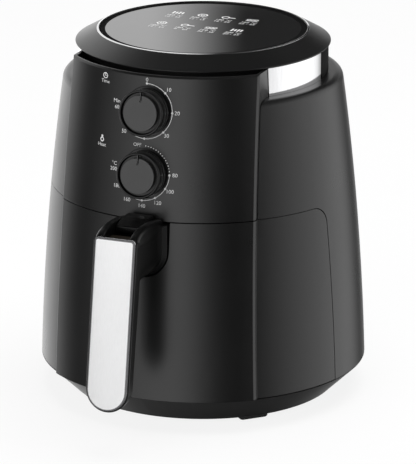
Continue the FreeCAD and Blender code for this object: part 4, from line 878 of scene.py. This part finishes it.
steep = combine(sky_tree, "ABSOLUTE", away.outputs["Z"])
strength = spread(sky_tree, steep, BRIGHTEST, ZENITH_SHARE * BRIGHTEST, FADE_START, FADE_STOP)
sky = node(sky_tree, "Background", Color=ramp.outputs["Color"], Strength=strength)
paper = node(sky_tree, "Background", Color=grey(1.0), Strength=1.0)
to_camera = node(sky_tree, "LightPath").outputs["Is Camera Ray"]
seen_sky = mix_shaders(sky_tree, to_camera, sky, paper)
put(sky_tree, node(sky_tree, "OutputWorld").inputs["Surface"], seen_sky)
print("world:", world.name)

# %% [markdown]
# Reflections alone leave pale pieces dull. Two wide disc lamps, which no reflection shows, light the
# silver plate and the print, and the upper one casts the soft shadow on the floor. Small lamps would cast
# hard ones.

# %% Soft lamps
LAMPS = (
    ("front lamp", (-0.5, -2.2, 1.3), 1.8, 10.0),
    ("top lamp", (0.3, 0.2, 2.4), 2.2, 60.0),
)
LAMP_TARGET = Vector((0, 0, 0.12))

for name, spot, size, power in LAMPS:
    light = bpy.data.lights.new(name, "AREA")
    light.shape = "DISK"
    light.size = size
    light.energy = power
    lamp = bpy.data.objects.new(name, light)
    bpy.context.scene.collection.objects.link(lamp)
    lamp.location = spot
    lamp.rotation_euler = (LAMP_TARGET - lamp.location).to_track_quat("-Z", "Y").to_euler()
    lamp.visible_glossy = False
    lamp.visible_camera = False
    print(name, "watts:", power)

# %% [markdown]
# The polished top plate mirrors what stands behind the fryer. A card there, which only reflections see,
# fades from white to nearly black, so that the left half of the plate is bright and the right half dark.
# A narrow strip along its foot is white all across and draws the thin highlight on the shoulder.

# %% Fading card behind
CARD_CENTRE = Vector((-0.187, 0.487, 0.609))
CARD_TURN = math.radians(22)
CARD_WIDTH = 1.0
CARD_HEIGHT = 0.469
FADE_LEFT, FADE_RIGHT = -0.056, 0.042
DARK_END = 0.03
STRIP_HEIGHT = 0.0190
STRIP_TOP = STRIP_HEIGHT - CARD_HEIGHT / 2
STRIP_BLUR = 0.001


def stage_piece(name, shape, finish):
    """A piece of the studio, which is no part of the object."""
    mesh = bpy.data.meshes.new(name)
    shape.to_mesh(mesh)
    shape.free()
    mesh.materials.append(finish)
    piece = bpy.data.objects.new(name, mesh)
    bpy.context.scene.collection.objects.link(piece)
    print("stage:", name)
    return piece


def fading_white(name):
    made, tree, _ = new_material(name)
    coords = node(tree, "TexCoord").outputs["Object"]
    on_card = node(tree, "Mapping", {"vector_type": "TEXTURE"}, Vector=coords, Location=CARD_CENTRE,
                   Rotation=(0, 0, CARD_TURN))
    across = node(tree, "SeparateXYZ", Vector=on_card.outputs["Vector"])
    fade = node(tree, "MapRange", {"interpolation_type": "SMOOTHSTEP"}, Value=across.outputs["X"],
                From_Min=FADE_LEFT, From_Max=FADE_RIGHT, To_Min=1.0, To_Max=DARK_END)
    strip = spread(tree, across.outputs["Z"], 1.0, 0.0, STRIP_TOP - STRIP_BLUR, STRIP_TOP + STRIP_BLUR)
    brightness = combine(tree, "MAXIMUM", fade.outputs["Result"], strip)
    glow = node(tree, "Emission", Color=grey(1.0), Strength=brightness)
    put(tree, tree.nodes["Material Output"].inputs["Surface"], glow.outputs[0])
    return made


card_shape = bmesh.new()
bmesh.ops.create_grid(card_shape, x_segments=1, y_segments=1, size=0.5)
bmesh.ops.scale(card_shape, vec=(CARD_WIDTH, CARD_HEIGHT, 1), verts=card_shape.verts)
facing = Matrix.Rotation(CARD_TURN, 4, "Z") @ Matrix.Rotation(math.pi / 2, 4, "X")
bmesh.ops.transform(card_shape, matrix=Matrix.Translation(CARD_CENTRE) @ facing, verts=card_shape.verts)
card = stage_piece("card", card_shape, fading_white("fading card"))
card.visible_camera = False
card.visible_diffuse = False
card.visible_shadow = False

# %% [markdown]
# The floor is a disc of pale paper. To the camera it is mostly plain white, so that it runs into the
# background without an edge, and the rest of it is a matt surface that keeps the fryer's shadow.
# Reflections don't see it, because a white floor would wash out the black plastic.

# %% Floor
FLOOR_RADIUS = 1.6
PAPER_SHARE = 0.86


def pale_paper(name):
    made, tree, shader = new_material(name)
    speck = noise(tree, place(tree), scale=60.0)
    put(tree, shader.inputs["Base Color"], blend(tree, speck, grey(0.80), grey(0.84)))
    put(tree, shader.inputs["Roughness"], 0.9)
    glow = node(tree, "Emission", Color=grey(1.0), Strength=1.0)
    share = combine(tree, "MULTIPLY", node(tree, "LightPath").outputs["Is Camera Ray"], PAPER_SHARE)
    put(tree, tree.nodes["Material Output"].inputs["Surface"], mix_shaders(tree, share, shader, glow))
    return made


floor_shape = bmesh.new()
bmesh.ops.create_circle(floor_shape, cap_ends=True, segments=64, radius=FLOOR_RADIUS)
floor = stage_piece("floor", floor_shape, pale_paper("pale floor"))
floor.visible_glossy = False

# %% [markdown]
# The picture was taken from about three metres with a long lens, so that upright lines stay nearly
# parallel. Place, tilt and lens were fitted to the round outlines of top, shoulder and base. The Standard
# view keeps colours as they are written.

# %% Camera
FOCAL_LENGTH = 293.6
SENSOR_WIDTH = 36.0
SIDEWAYS_SHIFT = 0.0103
CAMERA_SPOT = (1.0791, -2.6480, 1.0398)
CAMERA_TILT = math.radians(72.353)
CAMERA_TURN = math.radians(22.0)

lens = bpy.data.cameras.new("camera")
lens.lens = FOCAL_LENGTH
lens.sensor_width = SENSOR_WIDTH
lens.shift_x = SIDEWAYS_SHIFT
camera = bpy.data.objects.new("camera", lens)
bpy.context.scene.collection.objects.link(camera)
camera.location = CAMERA_SPOT
camera.rotation_euler = (CAMERA_TILT, 0, CAMERA_TURN)
bpy.context.scene.camera = camera
bpy.context.scene.view_settings.view_transform = "Standard"
print("camera distance:", round(camera.location.length, 3))
